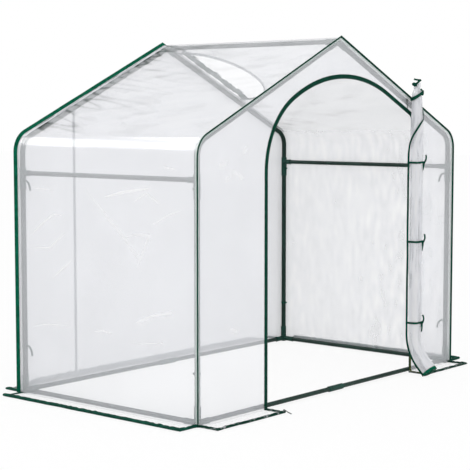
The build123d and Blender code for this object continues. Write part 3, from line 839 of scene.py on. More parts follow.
class GREENHOUSE_OT_gable_films(bpy.types.Operator):
    """Makes the front film round the doorway and the back film with its seam"""

    bl_idname = "greenhouse.gable_films"
    bl_label = "Gable films"

    def execute(self, context):
        self.front()
        self.back()
        return {"FINISHED"}

    def lift(self, x, height, edge, seed):
        """How far a gable's film stands off its flat lie, and how creased it is."""
        slack = SLACK * ripple(x, height, seed, 2.2, 1.6)
        slack = slack + GABLE_FINE_SLACK * ripple(x, height, seed + 3, 6.0, 4.0)
        blots = fade(ripple(x, height, seed + 8, 5.0, 6.5) - 0.1, 0.6)
        return slack * fade(edge, 0.08), 0.12 * blots * fade(edge, 0.03)

    def front(self):
        """The front film, from the doorway's edge out to the gable's edge."""
        z = sizes()
        points, _ = door_line(z.film_mesh)
        door = run_lengths(points)
        half = sum(profile_runs())
        wall, bend, _ = profile_runs()
        top = door[np.argmax(points[:, 1])]
        shoulder = door[np.argmax(points[:, 0] > -z.door_left + 1e-5)]
        corner = door[np.argmax(points[:, 0] >= z.door_right - 0.002)]
        marks = (0.0, shoulder, top, corner, door[-1])
        outline = np.interp(door, marks, (0.0, wall - 0.1, half, 2 * half - wall - bend / 2, 2 * half))
        outer = np.column_stack(gable_line(outline)[:2])
        last = len(points) - 1

        def place(u, v):
            at = np.rint(u * last).astype(int)
            flat = points[at] + (outer[at] - points[at]) * v[:, None]
            reach = np.linalg.norm(outer[at] - points[at], axis=1)
            lift, fold = self.lift(flat[:, 0], flat[:, 1], reach * np.minimum(v, 1 - v), 70.0)
            fold = fold + 0.6 * along_marks(flat[:, 0], flat[:, 1], FRONT_PATCHES, PATCH_REACH)
            return flat[:, 0], z.film - z.depth / 2 - lift, flat[:, 1], fold

        piece = laid_grid("front_film", last, FRONT_ROWS, place, FRONT_REACH, door[-1])
        thicken(piece, z.film)
        panels = ("front_panel_left", "front_panel_top", "front_panel_right")
        finish(piece, surfaces()["creased"], "clear_film", *panels)

    def back(self):
        """The back film and its upright seam."""
        z = sizes()
        half = z.width / 2
        s = np.linspace(0.0, sum(profile_runs()), 2000)
        side, roof = profile(s)[:2]

        def place(u, v):
            x = half * np.sin((2 * u - 1) * math.pi / 2)
            top = np.interp(-np.abs(x), -side, roof)
            height = v * top
            edge = np.minimum(np.minimum(height, (top - height) * math.cos(pitch())), half - np.abs(x))
            lift, fold = self.lift(x, height, edge, 110.0)
            return x, z.depth / 2 - z.film + lift, height, fold

        piece = laid_grid("back_film", BACK_COLUMNS, BACK_ROWS, place, z.ridge, z.width)
        thicken(piece, z.film)
        finish(piece, surfaces()["hazy"], "clear_film", "back_panel")
        top = float(np.interp(z.seam_x, -side, roof)) - SEAM_TOP_GAP
        y = z.depth / 2 + SEAM_SEAT
        line = spaced([(z.seam_x, y, SEAM_FOOT), (z.seam_x, y, top)], 0.01)
        wave = ripple(line[:, 2], line[:, 0], 5.0, 6.0, 1.0)[:, None] * (0.0008, 0.0, 0.0)
        edge = np.array((SEAM_HALF, 0.0, 0.0))
        seam = band("back_seam", line + wave - edge, line + wave + edge, 4, SEAM_THICK)
        finish(seam, surfaces()["trim"], "trim_green", "back_seam_strip")


# Bindings: start above the ground, spacing of their points and stand-off from the film's edge
BINDING_FOOT, BINDING_STEP, BINDING_SEAT = 0.0033, 0.011, 0.0004

# Green strips beside a binding: stand-off from the film, thickness, and the share of their width on the face
STRIP_CLEAR, STRIP_THICK, STRIP_FACE_SHARE = 0.0008, 0.0004, 0.7

# Gathered film beside the back binding: folds on each side, its width and start, and points along and across
GATHER_FOLDS = 44
GATHER_WIDTH, GATHER_INSET = 0.026, 0.0015
GATHER_COLUMNS, GATHER_ROWS = 320, 18


class GREENHOUSE_OT_gable_bindings(bpy.types.Operator):
    """Makes the bound seams along the edges of both gables and the green strips sewn in beside them"""

    bl_idname = "greenhouse.gable_bindings"
    bl_label = "Gable bindings"

    def execute(self, context):
        z = sizes()
        half = sum(profile_runs())
        last = 2 * half - BINDING_FOOT
        s = np.unique(np.concatenate((np.arange(BINDING_FOOT, last, BINDING_STEP), (half, last))))
        x, height, nx, nz = gable_line(s)
        for name, end in (("front", -1.0), ("back", 1.0)):
            line = np.column_stack((x, np.full(len(s), end * z.depth / 2), height))
            out = np.column_stack((nx, np.zeros(len(s)), nz))
            along = np.array((0.0, end, 0.0))
            lean, side = (out + along) / math.sqrt(2), (out - along) / math.sqrt(2)
            sway = ripple(s, s, 7.0 + end, 9.0, 0.0)[:, None]
            if end < 0:
                half_wide = z.piping / 2
                centre = line + lean * (BINDING_SEAT + half_wide) + side * 0.0004 * sway
                puckers = 1.0 + 0.10 * ripple(s, s, 3.0, 55.0, 0.0)[:, None]
                half_thick = side * (z.piping_thick / 2) * puckers
                piece = bead("front_binding", centre, lean * half_wide, half_thick, 12)
            else:
                near = line + lean * BINDING_SEAT
                far = line + lean * (BINDING_SEAT + z.binding) + side * (0.0016 * sway)
                piece = band("back_binding", near, far, 6, z.binding_thick)
                apply(piece, "BEVEL", width=0.0008, segments=2, limit_method="ANGLE")
            woven = surfaces()["trim" if end < 0 else "binding"]
            finish(piece, woven, "trim_green", f"{name}_gable_binding")
            face = line + along * STRIP_CLEAR
            near, far = face - out * STRIP_CLEAR, face - out * STRIP_FACE_SHARE * z.turn_in
            strips = [band(f"{name}_turn_in_face", near, far, 2, STRIP_THICK)]
            if end < 0:
                near = line + out * STRIP_CLEAR
                strips.append(band(f"{name}_turn_in_side", near, near - along * z.turn_in, 2, STRIP_THICK))
            turned_in = joined(f"{name}_turn_in", strips)
            finish(turned_in, surfaces()["turn_in"], "trim_green", f"{name}_gable_binding")
        self.gathers()
        return {"FINISHED"}

    def gathers(self):
        """Film gathered in small folds between the back binding and the back rafters, greyed along its folds
        by painted dark reflections.
        """
        z = sizes()
        wall, bend, slope = profile_runs()
        low, high = wall + 0.7 * bend, wall + bend + slope - 0.012
        pieces = []
        for name, side in (("left", -1.0), ("right", 1.0)):
            strokes = []
            for number in range(GATHER_FOLDS):
                start = low + (high - low) * (number + 0.4 * math.sin(7.1 * number + side)) / GATHER_FOLDS
                inset = 0.008 + 0.016 * (0.5 + 0.5 * math.sin(12.9 * number + 2.0 * side))
                reach = 0.055 + 0.035 * math.sin(5.3 * number)
                middle, end = start + 0.5 * reach, start + reach
                strokes.append(((start, inset + 0.002), (middle, inset - 0.0035), (end, inset - 0.004)))

            def place(u, v):
                s = low + (high - low) * u
                inset = GATHER_INSET + GATHER_WIDTH * v
                x, height, nx, nz = profile(s)
                edge = fade(v, 0.2) * fade(1 - v, 0.2) * fade(u, 0.04)
                folds = along_marks(s, inset, strokes, 0.0013)
                wrinkle = ripple(s + 1.6 * inset, inset, 31.0 + side, 15.0, 230.0)
                lift = 0.0012 + (0.0016 + 0.0014 * wrinkle - 0.0008 * folds) * edge
                # Grey along the folds is painted dark reflection; the wrinkles' light and dark is painted
                # highlight and shade
                fold = np.clip(0.35 * wrinkle - 1.25 * folds, -1.0, 1.0) * edge
                return side * (x + nx * lift), z.depth / 2 - inset, height + nz * lift, fold

            grid = (GATHER_COLUMNS, GATHER_ROWS)
            pieces.append(laid_grid(f"gather_{name}", *grid, place, GATHER_WIDTH, high - low))
        whole = joined("back_gathers", pieces)
        thicken(whole, z.film)
        finish(whole, surfaces()["gathers"], "clear_film", "back_gable_binding")


# Doorway's tape: the spacing of its points, where it starts above the ground, and its stand-off from the film
TAPE_STEP, TAPE_FOOT, TAPE_SEAT = 0.009, 0.0035, 0.0003

# Zip: how far its teeth wave, its reach to both sides of the doorway's edge, and its thickness
ZIP_WAVE, ZIP_INSIDE, ZIP_OUTSIDE, ZIP_THICK = 0.0007, 0.004, 0.0012, 0.0016

# Zip sliders: sizes of the body and the pull, radii of the ring and its wire, and where ring and pull are
SLIDER_BODY, SLIDER_PULL = (0.008, 0.013, 0.005), (0.0065, 0.026, 0.002)
SLIDER_RING, SLIDER_WIRE = 0.0036, 0.0008
SLIDER_RING_PLACE, SLIDER_PULL_PLACE = (0.0, -0.0085, 0.0), (0.0, -0.0245, 0.0)
TOP_SLIDER_HEIGHT = 1.243

# Olive tape: its upper end, its height where it lies on the flap, half its width, and its thickness
FOOT_TAPE_TOP, FOOT_TAPE_LOW = 0.092, 0.0078
FOOT_TAPE_HALF, FOOT_TAPE_THICK = 0.0055, 0.0012
FOOT_TAPE_STEP = 0.006


class GREENHOUSE_OT_doorway_tape(bpy.types.Operator):
    """Makes the tape round the doorway, its zip with the slider, and the tape at its right foot"""

    bl_idname = "greenhouse.doorway_tape"
    bl_label = "Doorway tape"

    def execute(self, context):
        z = sizes()
        face, out = self.edge(TAPE_STEP)
        tape = band("doorway_tape", face, face + out * z.tape, 6, z.tape_thick)
        apply(tape, "BEVEL", width=0.0006, segments=2, limit_method="ANGLE")
        finish(tape, surfaces()["trim"], "trim_green", "door_edge_tape")
        face, out = self.edge(z.zip_pitch / 4)
        s = run_lengths(face)
        wave = ZIP_WAVE * np.sin(2 * math.pi * s / z.zip_pitch)
        teeth = np.column_stack((np.zeros(len(s)), wave, np.zeros(len(s))))
        near, far = face - out * ZIP_INSIDE + teeth, face + out * ZIP_OUTSIDE + teeth
        chain = band("zip_chain", near, far, 1, ZIP_THICK)
        finish(chain, surfaces()["plastic"], "trim_green", "door_edge_tape")
        self.slider("zip_pull", (-z.door_left + 0.004, -z.depth / 2 - z.flap + 0.010, 0.0105), 14.0, -5.0)
        self.slider("top_zip_pull", (z.roll_x - 0.025, -z.depth / 2 - 0.0045, TOP_SLIDER_HEIGHT), 86.0, 10.0)
        self.foot_tape()
        return {"FINISHED"}

    def edge(self, step):
        """Places on the film's face along the doorway's edge, and outward directions."""
        z = sizes()
        points, normals = door_line(step)
        keep = points[:, 1] > TAPE_FOOT
        points, normals = points[keep], normals[keep]
        y = -z.depth / 2 - z.tape_thick / 2 - TAPE_SEAT
        face = np.column_stack((points[:, 0], np.full(len(points), y), points[:, 1]))
        return face, np.column_stack((normals[:, 0], np.zeros(len(points)), normals[:, 1]))

    def slider(self, name, place, dip, swing):
        """A zip slider with its ring and a pull that hangs from it."""
        bpy.ops.object.select_all(action="DESELECT")
        bpy.ops.mesh.primitive_cube_add(size=1.0)
        body = bpy.context.object
        body.scale = SLIDER_BODY
        bpy.ops.object.transform_apply(location=False, rotation=False, scale=True)
        apply(body, "BEVEL", width=0.0018, segments=3)
        bpy.ops.object.select_all(action="DESELECT")
        bpy.ops.mesh.primitive_torus_add(
            location=SLIDER_RING_PLACE, major_radius=SLIDER_RING, minor_radius=SLIDER_WIRE,
            major_segments=20, minor_segments=8,
        )
        ring = bpy.context.object
        bpy.ops.object.select_all(action="DESELECT")
        bpy.ops.mesh.primitive_cube_add(size=1.0, location=SLIDER_PULL_PLACE)
        tab = bpy.context.object
        tab.scale = SLIDER_PULL
        bpy.ops.object.transform_apply(location=False, rotation=False, scale=True)
        apply(tab, "BEVEL", width=0.0009, segments=3)
        whole = joined(name, [body, ring, tab])
        bpy.ops.object.transform_apply(location=True, rotation=True, scale=True)
        whole.rotation_euler = (math.radians(dip), 0.0, math.radians(swing))
        whole.location = place
        bpy.ops.object.transform_apply(location=True, rotation=True, scale=True)
        finish(whole, surfaces()["metal"], "trim_green", "door_edge_tape", angle=35.0)

    def foot_tape(self):
        """Olive tape down the foot of the doorway's right edge and out along the end of the flap."""
        z = sizes()
        x = z.door_right + 0.006
        y = -z.depth / 2 - z.tape_thick - 0.0012
        far = -z.depth / 2 - z.flap + 0.020
        line = np.vstack((
            spaced([(x, y, FOOT_TAPE_TOP), (x, y, 0.018)], FOOT_TAPE_STEP),
            drawn([(x, y, 0.014), (x, y, 0.008), (x, y - 0.012, FOOT_TAPE_LOW)], 6),
            spaced([(x, y - 0.016, FOOT_TAPE_LOW), (x, far, 0.0082)], FOOT_TAPE_STEP),
        ))
        edge = np.array((FOOT_TAPE_HALF, 0.0, 0.0))
        tape = band("foot_tape", line - edge, line + edge, 2, FOOT_TAPE_THICK)
        finish(tape, surfaces()["olive"], "trim_green", "door_edge_tape")


# Ground flaps: how far the film and the hems lie off the ground, and the spacing of their points
FLAP_SEAT, HEM_SEAT = 0.0008, 0.0004
FLAP_STEP, HEM_STEP = 0.012, 0.008

# How far from a corner a hem grows to its height, and how the tall back hem tapers towards its ends
HEM_TURN = 0.02
TAPER_GAP, TAPER_REACH = 0.04, 0.13


class GREENHOUSE_OT_ground_flaps(bpy.types.Operator):
    """Makes the flaps that lie on the ground and their padded hems"""

    bl_idname = "greenhouse.ground_flaps"
    bl_label = "Ground flaps"

    def execute(self, context):
        z = sizes()
        half_w, half_d = z.width / 2, z.depth / 2
        plans = {
            "left": ((-half_w, -half_d), (-half_w, half_d), (-1.0, 0.0), z.hem_high, (0.8, 0.1)),
            "right": ((half_w, half_d), (half_w, -half_d), (1.0, 0.0), z.hem_high, (0.1, 0.8)),
            "back": ((-half_w, half_d), (half_w, half_d), (0.0, 1.0), z.hem_back, (0.36, 0.36)),
            "front_left": ((-z.door_left, -half_d), (-half_w, -half_d), (0.0, -1.0), z.hem_front, (0.7, 1.0)),
            "front_right": ((half_w, -half_d), (z.door_right, -half_d), (0.0, -1.0), z.hem_front, (1.0, 0.0)),
        }
        hems = []
        for number, (name, (start, end, out, tall, ends)) in enumerate(plans.items()):
            start, end, out = np.array(start), np.array(end), np.array(out)
            self.film(name, start, end, out, tall, 10.0 * number)
            hems.append(self.hem(name, start, end, out, tall, ends, 10.0 * number))
        finish(joined("front_hems_cloth", hems[3:]), surfaces()["front_hem"], "trim_green", "flap_hems")
        finish(joined("flap_hems_cloth", hems[:3]), surfaces()["hem"], "trim_green", "flap_hems")
        return {"FINISHED"}

    def wave(self, x, y, seed):
        """Height of the flap's waves above the ground."""
        return FLAP_SEAT + 0.0035 * np.clip(ripple(x, y, seed, 9.0, 9.0) + 0.1, 0.0, 1.0)

    def film(self, name, start, end, out, tall, seed):
        """The film of one flap, rising to the middle of its hem."""
        z = sizes()
        run = float(np.linalg.norm(end - start))

        def place(u, v):
            flat = start + (end - start) * u[:, None] + out * (z.flap - 0.006) * v[:, None]
            lift = (self.wave(flat[:, 0], flat[:, 1], seed) + 0.2 * tall) * fade(v, 0.5)
            return flat[:, 0], flat[:, 1], FLAP_SEAT + lift

        piece = laid_grid(f"{name}_flap", int(run / FLAP_STEP), 10, place, z.flap, run)
        thicken(piece, z.film)
        finish(piece, surfaces()["laid"], "clear_film", f"{name}_ground_flap")

    def hem(self, name, start, end, out, tall, ends, seed):
        """A rounded hem: low across the flap's ends, full along its outer edge."""
        z = sizes()
        along = (end - start) / np.linalg.norm(end - start)
        deep = out * z.flap
        cut = along * z.hem
        outer = np.array([start, start + deep, end + deep, end])
        shallow = deep - out * z.hem
        inner = np.array([start + cut, start + cut + shallow, end - cut + shallow, end - cut])
        turns = run_lengths(outer)
        at = np.unique(np.concatenate((np.arange(0, turns[-1], HEM_STEP), turns)))
        far = np.column_stack([np.interp(at, turns, outer[:, i]) for i in (0, 1)])
        near = np.column_stack([np.interp(at, turns, inner[:, i]) for i in (0, 1)])
        corners = (turns[1] - HEM_TURN, turns[1], turns[2], turns[2] + HEM_TURN)
        full = np.interp(at, corners, (ends[0], 1.0, 1.0, ends[1]))
        pucker = 1.0 + 0.28 * ripple(at, at, seed + 2.0, 42.0, 0.0)
        pucker = pucker + 0.12 * ripple(at, at, seed + 4.0, 90.0, 0.0)
        if tall > z.hem_high:
            inside = np.minimum(at - turns[1], turns[2] - at)
            full = np.where(inside > 0, fade(inside - TAPER_GAP, TAPER_REACH), ends[0])
        high = (z.hem_flat + (tall - z.hem_flat) * full) * pucker
        middle = (far + near) / 2
        lift = HEM_SEAT + 0.5 * self.wave(middle[:, 0], middle[:, 1], seed) * full
        line = np.column_stack((middle, lift + high / 2))
        reach = np.column_stack(((far - near) / 2, np.zeros(len(at))))
        return bead(f"{name}_hem", line, reach, (high / 2)[:, None] * UP, 12)


# Rolled door: which way its foot swings, the bend there, the straight end after it, and its lowest point
ROLL_HEADING = math.radians(3.0)
ROLL_BEND, ROLL_BEND_RADIUS, ROLL_TAIL, ROLL_FOOT = math.radians(42.0), 0.2, 0.05, 0.020

# Where the ties are: shares of the roll's height, and how far the top one is below its top
ROLL_TIE_SHARES = (0.185, 0.468, 0.742)
TOP_TIE_DROP = 0.043

# Where the door's taped edge crosses the roll's face: heights, and degrees round the roll
EDGE_HEIGHTS = (0.0, 1.000, 1.047, 1.075, 1.103, 1.138, 1.160, 1.176, 1.196, 1.214, 1.300)
EDGE_ANGLES = (130.0, 130.0, 138.0, 163.0, 193.0, 236.0, 282.0, 308.0, 325.0, 343.0, 345.0)

# Height above which that edge hugs the roll, and over how much height it gets there
EDGE_RISE, EDGE_REACH = 0.99, 0.09

# Degrees round the roll: its face, its left, where the outer turn leaves it, and where it runs on behind
ROLL_FACE, ROLL_LEFT, ROLL_LEAVE, ROLL_BEHIND = 220.3, 130.3, 215.0, 345.0

# The outer turn's loose flange: its reach from the axis, its pull outwards and its share of the turn
FREE_EDGE, FLANGE_PULL, FLANGE_SHARE = 0.0412, 0.016, 0.3

# Lengths of film in the inner turns and in the outer one
TURNS_RUN, WRAP_RUN = 0.83, 0.11

# Streaks of the outer turn: first degree, sweep, and a shift that sets them apart from those inside
WRAP_START, WRAP_SWEEP, WRAP_SHIFT = 100.0, 245.0, 3.0
WRAP_COLUMNS = 34

# The door's hem and the tape on its free edge
ROLL_HEM, ROLL_HEM_THICK = 0.011, 0.0016
ROLL_TAPE, ROLL_TAPE_THICK, ROLL_TAPE_TOP = 0.0062, 0.0022, 1.216

# Ends of the strip of film that the door hangs by
HINGE_LOW, HINGE_HIGH = 0.16, 1.09


def roll_axis(count):
    """Points, headings and side vectors down the rolled door's axis, its foot swung out over the flap."""
    z = sizes()
    ahead = np.array((math.sin(ROLL_HEADING), -math.cos(ROLL_HEADING), 0.0))
    turn, radius, tail, low = ROLL_BEND, ROLL_BEND_RADIUS, ROLL_TAIL, ROLL_FOOT
    straight = z.roll_top + z.bunch - low - radius * math.sin(turn) - tail * math.cos(turn)
    total = straight + radius * turn + tail
    d = np.linspace(0.0, total, count)
    a = np.clip((d - straight) / radius, 0.0, turn)
    rest = np.clip(d - straight - radius * turn, 0.0, tail)
    drop = np.minimum(d, straight) + radius * np.sin(a) + rest * math.cos(turn)
    forth = radius * (1 - np.cos(a)) + rest * math.sin(turn)
    top = np.array((z.roll_x, z.roll_y, z.roll_top + z.bunch))
    points = top - drop[:, None] * UP + forth[:, None] * ahead
    turned = np.cos(a)[:, None] * ahead + np.sin(a)[:, None] * UP
    side = np.tile(np.cross(UP, ahead), (count, 1))
    return points, turned, side, d, total


def tie_heights():
    """Heights of the ties round the rolled door, the top one last."""
    top = sizes().roll_top
    return [share * top for share in ROLL_TIE_SHARES] + [top - TOP_TIE_DROP]


def roll_girth(height):
    """Radius of the rolled door at a height: slimmer at the top, wider at the foot, drawn in at each tie."""
    girth = sizes().roll_radius + 0.004 * fade(0.16 - height, 0.14) - 0.0022 * fade(height - 1.10, 0.12)
    girth = girth - 0.0105 * fade(height - sizes().roll_top + 0.036, 0.03)
    for tied in tie_heights():
        girth = girth - 0.0022 * swell(height - tied, 0.018)
    return girth


def round_roll(degrees, side, ahead):
    """Directions out from the roll's axis, in degrees from the gable's right."""
    angle = np.radians(degrees) - ROLL_HEADING
    return np.cos(angle)[..., None] * side - np.sin(angle)[..., None] * ahead


class GREENHOUSE_OT_door_roll(bpy.types.Operator):
    """Makes the rolled-up door with its taped edge, its hem and the strip that it hangs by"""

    bl_idname = "greenhouse.door_roll"
    bl_label = "Door roll"

    rows = 130
    turns = 8.0
    turn_columns = 26

    def execute(self, context):
        z = sizes()
        axis = roll_axis(self.rows + 1)
        total = axis[4]
        columns = int(self.turns * self.turn_columns)

        def turns(u, v):
            return self.spiral(u, v, axis)

        def wrap(u, v):
            return self.wrapped(u, v, axis)

        inside = laid_grid("door_turns", columns, self.rows, turns, total, TURNS_RUN)
        outside = laid_grid("door_wrap", WRAP_COLUMNS, self.rows, wrap, total, WRAP_RUN)
        roll = joined("rolled_door", [inside, outside, self.hinge()])
        thicken(roll, z.film)
        finish(roll, surfaces()["rolled"], "clear_film", "door_roll", "door_hinge_film")
        enclosed(door_line(0.01)[0])
        self.tape()
        self.hem()
        return {"FINISHED"}

    def row(self, v, axis):
        """Which place down the axis a share of the height is at."""
        return np.rint((1 - v) * (len(axis[0]) - 1)).astype(int)

    def grounded(self, places):
        """The same places, kept on the ground."""
        places[:, 2] = np.maximum(places[:, 2], 0.0016)
        return places

    def streaks(self, degrees, d):
        """White and grey streaks down the rolled film: painted highlights and shade on its crumples, a
        painted highlight round its left side, painted shade round its right, and a darker line where the
        outer turn's edge lies.
        """
        angle = np.radians(degrees)
        # The crumples' painted highlights and shade are stronger towards the roll's left
        rough = 0.8 + 2.0 * fade(212.0 - degrees, 30.0)
        # A painted highlight round the roll's left side and painted shade round its right
        painted_highlight_and_shade = 0.32 * swell(degrees - 172.0, 22.0) - 0.10 * swell(degrees - 255.0, 36.0)
        overlap = 0.3 * swell(degrees - 128.0, 5.0) * (1.0 + ripple(d, d, 9.0, 2.0, 1.0))
        crumple = 0.45 * ripple(angle, d, 12.0, 2.2, 2.6) + 0.5 * ripple(angle, d, 15.0, 4.0, 14.0)
        return np.clip(rough * crumple + painted_highlight_and_shade - overlap + 0.05, -0.3, 1.0)

    def spiral(self, u, v, axis):
        """The turns inside the roll, from the outermost inwards."""
        points, ahead, side, d, _ = axis
        at = self.row(v, axis)
        height = points[at][:, 2]
        degrees = ROLL_BEHIND + 360.0 * self.turns * u
        lumps = 0.0016 * ripple(np.radians(degrees), d[at], 3.0, 0.8, 9.0)
        lumps = lumps + 0.001 * ripple(u * 40.0, d[at], 8.0, 1.0, 3.0)
        radius = (roll_girth(height) + lumps) * (1.0 - 0.87 * u)
        places = points[at] + round_roll(degrees, side[at], ahead[at]) * radius[:, None]
        return *self.grounded(places).T, self.streaks(degrees, d[at])

    def wrapped(self, u, v, axis):
        """The outer turn with its streaks."""
        at = self.row(v, axis)
        streaks = self.streaks(WRAP_START + WRAP_SWEEP * u, axis[3][at] + WRAP_SHIFT)
        return *self.wrap(u, at, axis).T, streaks

    def wrap(self, u, at, axis):
        """The roll's outer turn: 0 at its taped edge, 1 where it runs on behind the roll."""
        points, ahead, side, d, _ = axis
        height = points[at][:, 2]
        crumple = 0.0042 * ripple(7.0 * u, d[at], 21.0, 1.0, 24.0) * fade(0.24 - height, 0.16)
        girth = roll_girth(height)[:, None] + 0.0022 + crumple[:, None]

        def towards(degrees):
            return round_roll(np.broadcast_to(degrees, np.shape(u)), side[at], ahead[at])

        start = np.interp(height, EDGE_HEIGHTS, EDGE_ANGLES)
        hugging = girth * towards(start + (ROLL_BEHIND - start) * u)
        leave = girth * towards(ROLL_LEAVE)
        sway = 0.0012 * ripple(d[at], d[at], 5.0, 7.0, 0.0)[:, None]
        free = (FREE_EDGE + sway) * towards(ROLL_LEFT) + 0.010 * towards(ROLL_FACE)
        t = np.clip(u / FLANGE_SHARE, 0.0, 1.0)[:, None]
        pull = leave + FLANGE_PULL * towards(ROLL_LEAVE - 90.0)
        flange = (1 - t) ** 2 * free + 2 * t * (1 - t) * pull + t * t * leave
        after = np.clip((u - FLANGE_SHARE) / (1.0 - FLANGE_SHARE), 0.0, 1.0)
        beyond = ROLL_LEAVE + (ROLL_BEHIND - ROLL_LEAVE) * after
        standing = np.where(u[:, None] < FLANGE_SHARE, flange, girth * towards(beyond))
        share = fade(height - EDGE_RISE, EDGE_REACH)[:, None]
        return self.grounded(points[at] + standing * (1 - share) + hugging * share)

    def hinge(self):
        """The strip of film between the doorway's right edge and the roll."""
        z = sizes()
        run = HINGE_HIGH - HINGE_LOW
        start = np.array((z.door_right + 0.011, -z.depth / 2 - z.tape_thick - 0.0008))
        end = np.array((z.roll_x + 0.004, z.roll_y + z.roll_radius - 0.004))
        bow = np.array((z.roll_x + z.roll_radius + 0.002, z.roll_y + 0.016))

        def place(u, v):
            height = HINGE_LOW + run * v
            t = u[:, None]
            flat = (1 - t) ** 2 * start + 2 * t * (1 - t) * bow + t * t * end
            sway = 0.0012 * ripple(height, u, 6.0, 9.0, 2.0) * np.sin(math.pi * u)
            return flat[:, 0] + sway, flat[:, 1], height

        return laid_grid("door_hinge", 8, 90, place, run, 0.05)

    def tape(self):
        """Tape along the door's free edge, down the roll's left side and across its face."""
        axis = roll_axis(2 * self.rows + 1)
        points = axis[0]
        at = np.flatnonzero(points[:, 2] < ROLL_TAPE_TOP)
        height = points[at][:, 2]
        start = np.interp(height, EDGE_HEIGHTS, EDGE_ANGLES)
        share = fade(height - EDGE_RISE, EDGE_REACH)
        run = 0.125 * (1 - share) + np.radians(ROLL_BEHIND - start) * 0.031 * share
        near = self.wrap(np.zeros(len(at)), at, axis)
        wide = np.minimum((ROLL_TAPE + 0.004 * share) / np.maximum(run, 0.004), 0.95)
        far = self.wrap(wide, at, axis)
        piece = band("door_roll_tape", near, far, 3, ROLL_TAPE_THICK)
        finish(piece, surfaces()["trim"], "trim_green", "door_roll")

    def hem(self):
        """The green hem along the door's lower edge, wound into the roll's foot."""
        axis = roll_axis(10 * self.rows + 1)
        tall = ROLL_HEM / axis[4]
        columns = int(self.turns * self.turn_columns)

        def turns(u, v):
            return self.spiral(u, v * tall, axis)[:3]

        def wrap(u, v):
            return self.wrap(u, self.row(v * tall, axis), axis).T

        inside = laid_grid("door_hem_turns", columns, 3, turns, ROLL_HEM, TURNS_RUN)
        outside = laid_grid("door_hem_wrap", WRAP_COLUMNS, 3, wrap, ROLL_HEM, WRAP_RUN)
        whole = joined("door_roll_hem", [inside, outside])
        thicken(whole, ROLL_HEM_THICK)
        finish(whole, surfaces()["binding"], "trim_green", "door_roll")


# The bow at the roll's top, as steps to the right, up and out from its knot
BOW_LOOP = (
    (0.0, 0.0, 0.0), (-0.009, -0.002, 0.006), (-0.021, 0.006, 0.008),
    (-0.011, 0.014, 0.006), (0.003, 0.006, 0.002),
)
BOW_RISE = ((-0.004, 0.001, 0.002), (0.004, 0.008, 0.006), (0.013, 0.017, 0.006), (0.0235, 0.0245, 0.004))
BOW_END = ((0.0240, 0.0235, 0.004), (0.016, 0.0235, 0.006), (0.004, 0.0240, 0.006), (-0.008, 0.0280, 0.004))
BOW_SIDE = ((0.030, -0.044, 0.004), (0.038, -0.032, 0.008), (0.030, -0.024, 0.010), (0.022, -0.016, 0.008))

# How far a tie and a knot stand off the roll
TIE_SEAT, KNOT_SEAT = 0.0042, 0.004


